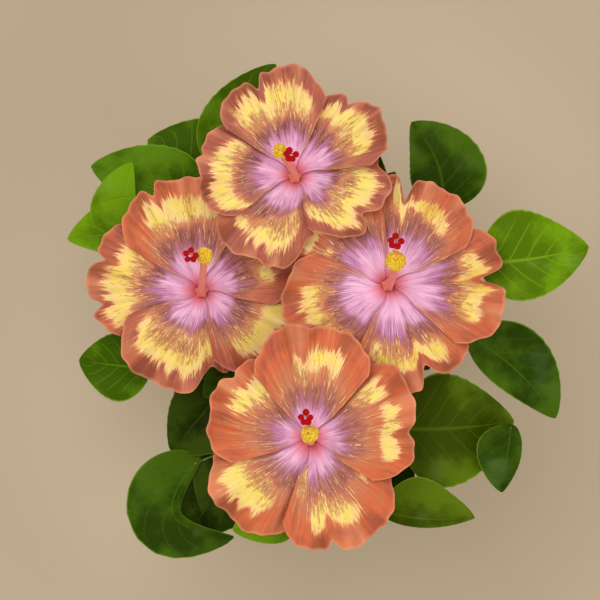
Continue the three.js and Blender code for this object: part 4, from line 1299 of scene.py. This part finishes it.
class HIBISCUS_OT_columns(bpy.types.Operator):
    """Models the staminal columns, each with a starry foot"""

    bl_idname = "hibiscus.columns"
    bl_label = "Columns"

    def execute(self, context):
        skin = column_finish("column", context.scene.hibiscus_blooms)
        blank = rod_blank(30, 48)
        for name, bloom in BLOOMS.items():
            piece = limb(blank, column_curve(bloom), self.radius)
            coat(piece, skin)
            settle(joined(f"column_{name}", [piece]), "column", f"bloom_{name}_column")
        return {"FINISHED"}

    @staticmethod
    def radius(along, around):
        """Five ribs that flare into a star in the throat and fade up the tube."""
        foot = bump(along, 0, 0.16)
        star = 0.5 + 0.5 * np.cos(5 * around)
        tube = COLUMN_RADIUS + (COLUMN_FOOT - COLUMN_RADIUS) * foot
        return tube + COLUMN_STAR * star ** 2 * foot + 0.12 * np.sin(40 * along)


class HIBISCUS_OT_anthers(bpy.types.Operator):
    """Models the balls of anthers, each anther on its own thread"""

    bl_idname = "hibiscus.anthers"
    bl_label = "Anthers"

    def execute(self, context):
        looks = context.scene.hibiscus_blooms
        gold = pollen_finish(looks)
        bean = ball_blank(8, 6)
        core = ball_blank(14, 10)
        thread = rod_blank(4, 1)
        for index, (name, bloom) in enumerate(BLOOMS.items()):
            centre = to_bloom(bloom, [(*bloom["anthers"], ANTHER_HEIGHT)])[0]
            draw = seeded(101 + 7 * index)
            parts = [shaped(core, points_of(core) * (CORE_SHARE * bloom["ball"]) + centre)]
            for i in range(looks.anther_count):
                share = i / looks.anther_count
                parts += self.anther(share, i, bean, thread, centre, bloom["ball"], draw)
            piece = joined(f"anthers_{name}", parts)
            coat(piece, gold)
            settle(piece, "anthers", f"bloom_{name}_anthers")
        return {"FINISHED"}

    @staticmethod
    def anther(share, i, bean, thread, centre, ball, draw):
        """A bent bean at the end of a thread, on a spiral round the ball."""
        climb = math.asin(1 - 2 * min(share + 0.008, 0.999))
        out = direction(math.tau * GOLDEN * i, climb)
        end = centre + out * ball * between(*ANTHER_REACH, draw)
        size = ball * between(*ANTHER_SIZE, draw)
        bent = points_of(bean) * ANTHER_SHAPE
        bent[:, 2] -= ANTHER_BEND * bent[:, 0] ** 2
        spin = Matrix.Rotation(between(0, math.tau, draw), 3, "Z")
        aim = Vector(out).to_track_quat("Z", "Y").to_matrix() @ spin
        pod = shaped(bean, bent * size @ np.array(aim).T + end)
        line = Curve([centre, (centre + end) / 2, end])
        stem = limb(thread, line, taper(THREAD_RADIUS, THREAD_RADIUS))
        return [pod, stem]


class HIBISCUS_OT_stigmas(bpy.types.Operator):
    """Models the five velvet pads on the branches of each style"""

    bl_idname = "hibiscus.stigmas"
    bl_label = "Stigmas"

    def execute(self, context):
        looks = context.scene.hibiscus_blooms
        red = velvet_finish(looks)
        pink = column_finish("style", looks)
        pad = ball_blank(20, 14)
        branch = rod_blank(8, 6)
        for name, bloom in BLOOMS.items():
            parts = self.cluster(bloom, pad, branch, seeded(int(bloom["ball"] * 10)))
            for part in parts:
                coat(part, red, pink)
            piece = joined(f"stigmas_{name}", parts)
            settle(piece, "stigmas", f"bloom_{name}_stigmas")
        return {"FINISHED"}

    @staticmethod
    def cluster(bloom, pad, branch, draw):
        """The style leaves the anthers, forks five ways and ends in the pads."""
        ball = to_bloom(bloom, [(*bloom["anthers"], ANTHER_HEIGHT)])[0]
        height = ANTHER_HEIGHT + bloom["ball"] + PAD_RISE
        centre = to_bloom(bloom, [(*bloom["stigmas"], height)])[0]
        heading = unit(centre - ball)
        root = ball + heading * bloom["ball"] * 0.8
        fork = root + (centre - root) * 0.35
        stems = [limb(branch, Curve([root, (root + fork) / 2, fork]), taper(*STYLE_RADII))]
        pads = []
        spots = points_of(pad)
        pile = np.array([noise.noise(Vector(spot) * 3.1) for spot in spots])[:, None]
        for i in range(5):
            angle = math.radians(18 + 72 * i + between(-16, 16, draw))
            ring = PAD_RING * between(0.75, 1.08, draw)
            place = centre + (ring * math.cos(angle), ring * math.sin(angle), between(-1, 1, draw))
            middle = (fork + place) / 2 + (0, 0, -1.2)
            stems.append(limb(branch, Curve([fork, middle, place]), taper(*BRANCH_RADII)))
            size = PAD_RADIUS * between(0.95, 1.12, draw)
            lumpy = spots * (1 + PAD_LUMPS * pile) * (size, size, size * PAD_FLATNESS)
            pads.append(shaped(pad, lumpy + place))
        for stem in stems:
            stem.data.polygons.foreach_set("material_index", [1] * len(stem.data.polygons))
        return pads + stems


class HIBISCUS_OT_calyces(bpy.types.Operator):
    """Models each calyx with its five lobes, the bracts below it and the flower's stalk"""

    bl_idname = "hibiscus.calyces"
    bl_label = "Calyces"

    def execute(self, context):
        looks = context.scene.hibiscus_leaves
        green = stalk_finish("calyx", looks.fresh, looks.stalk)
        self.cup = rod_blank(20, 40)
        self.lobe = sheet_blank(8, 12)
        for name, bloom in BLOOMS.items():
            parts = [self.stalk(bloom)]
            parts += [self.flap(bloom, 72 * i + 36, **LOBE) for i in range(5)]
            parts += [self.flap(bloom, 51.4 * i, **BRACT) for i in range(7)]
            piece = joined(f"calyx_{name}", parts)
            coat(piece, green)
            settle(piece, "calyx", f"bloom_{name}_calyx")
        return {"FINISHED"}

    def stalk(self, bloom):
        """The stalk that swells into the cup under the petals."""
        foot, top = -STALK_LENGTH, CALYX_TOP
        levels, sizes = zip(*CALYX_PROFILE)
        points = [(0, 0, foot), (0, 0, (foot + top) / 2), (0, 0, top)]

        def radius(along, around):
            ribs = 1 + 0.03 * np.cos(10 * around) * smoothstep(along, 0.4, 0.6)
            return np.interp(along, levels, sizes) * ribs

        return limb(self.cup, Curve(to_bloom(bloom, points)), radius)

    def flap(self, bloom, bearing, width, foot, rise, start, spread):
        """A pointed lobe or bract that curves outwards."""
        spots = points_of(self.lobe)
        u, v = -spots[:, 0], (spots[:, 1] + 1) / 2
        half = width * (1 - v) ** 0.8 + 0.15
        radius = start + spread * v ** 1.4 - 0.5 * u * u
        turn = math.radians(bearing) + u * half / radius
        points = np.stack([radius * np.cos(turn), radius * np.sin(turn), foot + rise * v], axis=1)
        piece = shaped(self.lobe, to_bloom(bloom, points))
        thicken(piece, FLAP_THICKNESS * MM, 0)
        return piece


# ------------------------------------------------------------------------ stage
class HIBISCUS_OT_stage(bpy.types.Operator):
    """Lays a pale floor and sets soft lights and a camera that looks straight down"""

    bl_idname = "hibiscus.stage"
    bl_label = "Stage"

    def execute(self, context):
        stage = context.scene.hibiscus_stage
        self.floor(stage)
        self.lamp("key", KEY_PLACE, KEY_SIZE, stage.key_power)
        self.lamp("fill", FILL_PLACE, FILL_SIZE, stage.fill_power)
        world = bpy.data.worlds.new("studio")
        context.scene.world = world
        world.use_nodes = True
        air = world.node_tree.nodes["Background"]
        air.inputs["Color"].default_value = (*stage.air, 1.0)
        air.inputs["Strength"].default_value = stage.air_strength
        context.scene.view_settings.view_transform = "Standard"
        lens = bpy.data.cameras.new("camera")
        lens.lens = stage.lens
        camera = bpy.data.objects.new("camera", lens)
        camera.location = (0, 0, stage.camera_height)
        context.scene.collection.objects.link(camera)
        context.scene.camera = camera
        return {"FINISHED"}

    @staticmethod
    def floor(stage):
        bpy.ops.object.select_all(action="DESELECT")
        bpy.ops.mesh.primitive_plane_add(size=FLOOR_SIZE, location=(0, 0, -FLOOR_DROP))
        piece = bpy.context.object
        piece.name = "floor"
        card = Finish("floor", {"Specular IOR Level": 0.2})
        place = card.place()
        clouds = card.grain(place, scale=2.2, detail=4.0)
        x, y, _ = card.parts(place)
        # Painted light: the floor is paler in a disc round the shrub's foot, which offsets the
        # shrub's shadow there; the clouds are the floor's own mottle.
        lit_centre = (x * x + y * y).rise(0.16, 0.04)
        lit_floor = [channel * 1.2 for channel in stage.floor]
        colour = card.blend(lit_centre * 0.8 + clouds * 0.4 + 0.1, stage.floor, lit_floor)
        coat(piece, card.done(colour, 0.9))

    @staticmethod
    def lamp(name, place, size, power):
        light = bpy.data.lights.new(name, "AREA")
        light.size = size
        light.energy = power
        lamp = bpy.data.objects.new(name, light)
        lamp.location = place
        aim = Vector((0, 0, AIM_HEIGHT)) - Vector(place)
        lamp.rotation_euler = aim.to_track_quat("-Z", "Y").to_euler()
        bpy.context.scene.collection.objects.link(lamp)


# ------------------------------------------------------------ settings and panel
def swatch(label, note, red, green, blue):
    return FloatVectorProperty(
        name=label, description=note, subtype="COLOR", size=3, min=0, max=1,
        default=paint(red, green, blue))


class HibiscusBlooms(bpy.types.PropertyGroup):
    petal_thickness: FloatProperty(
        name="Petal thickness", description="Thickness of a petal", default=0.0005, min=0.0002,
        max=0.002, subtype="DISTANCE", unit="LENGTH")
    petal_detail: IntProperty(
        name="Petal detail", description="Facets across a petal", default=96, min=24, max=160)
    anther_count: IntProperty(
        name="Anthers", description="Anthers in each ball", default=90, min=20, max=160)
    eye: swatch("Eye", "Rose pink at the throat", 244, 122, 146)
    lilac: swatch("Lilac", "Heart of the petals", 255, 192, 230)
    mauve: swatch("Mauve", "Darker part of the heart", 200, 128, 172)
    vein: swatch("Vein", "Pale veins of the heart", 255, 226, 242)
    thread: swatch("Thread", "Dark veins of the heart", 150, 84, 128)
    plum: swatch("Plum", "Dark streaks round the heart", 122, 56, 62)
    dusk: swatch("Dusk", "Dull band round the heart", 178, 104, 110)
    tan: swatch("Tan", "Ground between the streaks", 202, 128, 92)
    hazel: swatch("Hazel", "Browner patches of the rims", 186, 116, 80)
    # Umber gives the rims' darker patches and flecks, and is also painted shade in the folds' dips
    # and where a neighbour lies on top.
    umber_and_shade: swatch("Umber", "Folds and darker patches of the rims", 148, 74, 48)
    rose: swatch("Rose", "Cooler rims", 172, 92, 78)
    coral: swatch("Coral", "Warmer rims", 218, 108, 64)
    # Hem paints highlight: the pale line along a petal's edge and the crests of its folds.
    hem: swatch("Hem", "Pale line along the edge", 236, 156, 116)
    peach: swatch("Peach", "Glow round the flames", 232, 152, 92)
    cream: swatch("Cream", "Paler flames and sparks", 250, 212, 144)
    lemon: swatch("Lemon", "Brighter flames", 250, 228, 112)
    mustard: swatch("Mustard", "Deeper flames", 230, 178, 34)
    salmon: swatch("Salmon", "Column", 250, 150, 128)
    pollen: swatch("Pollen", "Lit anthers", 255, 232, 96)
    amber: swatch("Amber", "Shaded anthers", 250, 194, 30)
    scarlet: swatch("Scarlet", "Pads of the stigmas", 214, 0, 8)
    garnet: swatch("Garnet", "Depth of the pads' pile", 150, 0, 4)


class HibiscusLeaves(bpy.types.PropertyGroup):
    thickness: FloatProperty(
        name="Leaf thickness", description="Thickness of a leaf's blade", default=0.0006,
        min=0.0003, max=0.002, subtype="DISTANCE", unit="LENGTH")
    gloss: FloatProperty(
        name="Leaf roughness", description="Roughness of a leaf's upper face", default=0.4,
        min=0.1, max=1, subtype="FACTOR")
    high_shoots: IntProperty(
        name="High shoots", description="Side shoots that each high stem tries", default=26,
        min=0, max=60)
    low_shoots: IntProperty(
        name="Low shoots", description="Side shoots that each low stem tries", default=26,
        min=0, max=80)
    young: swatch("Young leaf", "Yellow-green of new leaves", 112, 156, 8)
    fresh: swatch("Fresh leaf", "Green of most leaves", 88, 130, 10)
    deep: swatch("Deep leaf", "Green of full-grown leaves", 48, 80, 3)
    shade: swatch("Shaded leaf", "Green of the leaves underneath", 26, 44, 3)
    olive: swatch("Olive leaf", "Duller green of an older leaf", 80, 103, 3)
    back: swatch("Leaf underside", "Matt back of a leaf", 86, 118, 48)
    light: swatch("Leaf light", "Veins and rim of a leaf", 150, 190, 50)
    stalk: swatch("Leaf stalk", "Stalks and young twigs", 132, 160, 70)
    twig: swatch("Twig", "Shaded side of the twigs", 92, 104, 48)


class HibiscusBark(bpy.types.PropertyGroup):
    relief: FloatProperty(
        name="Relief", description="Depth of the bark's cracks, in millimetres", default=0.8,
        min=0, max=3)
    rind: swatch("Bark", "Raised bark", 150, 128, 104)
    crack: swatch("Cracks", "Depth of the cracks", 78, 60, 46)
    young: swatch("Young bark", "Greener bark of the boughs", 120, 122, 72)
    pore: swatch("Pores", "Pale breathing pores", 188, 172, 144)


class HibiscusStage(bpy.types.PropertyGroup):
    camera_height: FloatProperty(
        name="Camera height", description="Camera over the ground", default=1.918, min=0.5, max=5,
        subtype="DISTANCE", unit="LENGTH")
    lens: FloatProperty(
        name="Lens", description="Focal length in millimetres", default=110, min=20, max=300)
    key_power: FloatProperty(
        name="Key light", description="Power of the larger light", default=16, min=0, max=200,
        unit="POWER")
    fill_power: FloatProperty(
        name="Fill light", description="Power of the softer light", default=9.5, min=0, max=200,
        unit="POWER")
    air_strength: FloatProperty(
        name="Air", description="Strength of the light from all round", default=0.55, min=0, max=3)
    air: swatch("Air colour", "Colour of the light from all round", 236, 228, 214)
    floor: swatch("Floor", "Pale plain floor", 199, 181, 156)


class HIBISCUS_PT_shrub(bpy.types.Panel):
    """Lists the shrub's pieces and their settings"""

    bl_label = "Hibiscus"
    bl_space_type = "VIEW_3D"
    bl_region_type = "UI"
    bl_category = "Hibiscus"

    def draw(self, context):
        for operator in OPERATORS:
            self.layout.operator(operator.bl_idname)
        for name in SETTINGS:
            group = getattr(context.scene, name)
            column = self.layout.column(heading=name)
            for setting in group.__annotations__:
                column.prop(group, setting)


OPERATORS = (
    HIBISCUS_OT_bark, HIBISCUS_OT_foliage, HIBISCUS_OT_petals, HIBISCUS_OT_columns,
    HIBISCUS_OT_anthers, HIBISCUS_OT_stigmas, HIBISCUS_OT_calyces, HIBISCUS_OT_stage)
SETTINGS = {
    "hibiscus_blooms": HibiscusBlooms, "hibiscus_leaves": HibiscusLeaves,
    "hibiscus_bark": HibiscusBark, "hibiscus_stage": HibiscusStage}


def register():
    for kind in (*SETTINGS.values(), *OPERATORS, HIBISCUS_PT_shrub):
        bpy.utils.register_class(kind)
    for name, group in SETTINGS.items():
        setattr(bpy.types.Scene, name, PointerProperty(type=group))


def unregister():
    for name in SETTINGS:
        delattr(bpy.types.Scene, name)
    for kind in reversed((*SETTINGS.values(), *OPERATORS, HIBISCUS_PT_shrub)):
        bpy.utils.unregister_class(kind)


def main():
    """Builds the whole shrub and its stage."""
    register()
    bpy.ops.hibiscus.bark()
    bpy.ops.hibiscus.foliage()
    bpy.ops.hibiscus.petals()
    bpy.ops.hibiscus.columns()
    bpy.ops.hibiscus.anthers()
    bpy.ops.hibiscus.stigmas()
    bpy.ops.hibiscus.calyces()
    bpy.ops.hibiscus.stage()


if __name__ == "__main__":
    main()
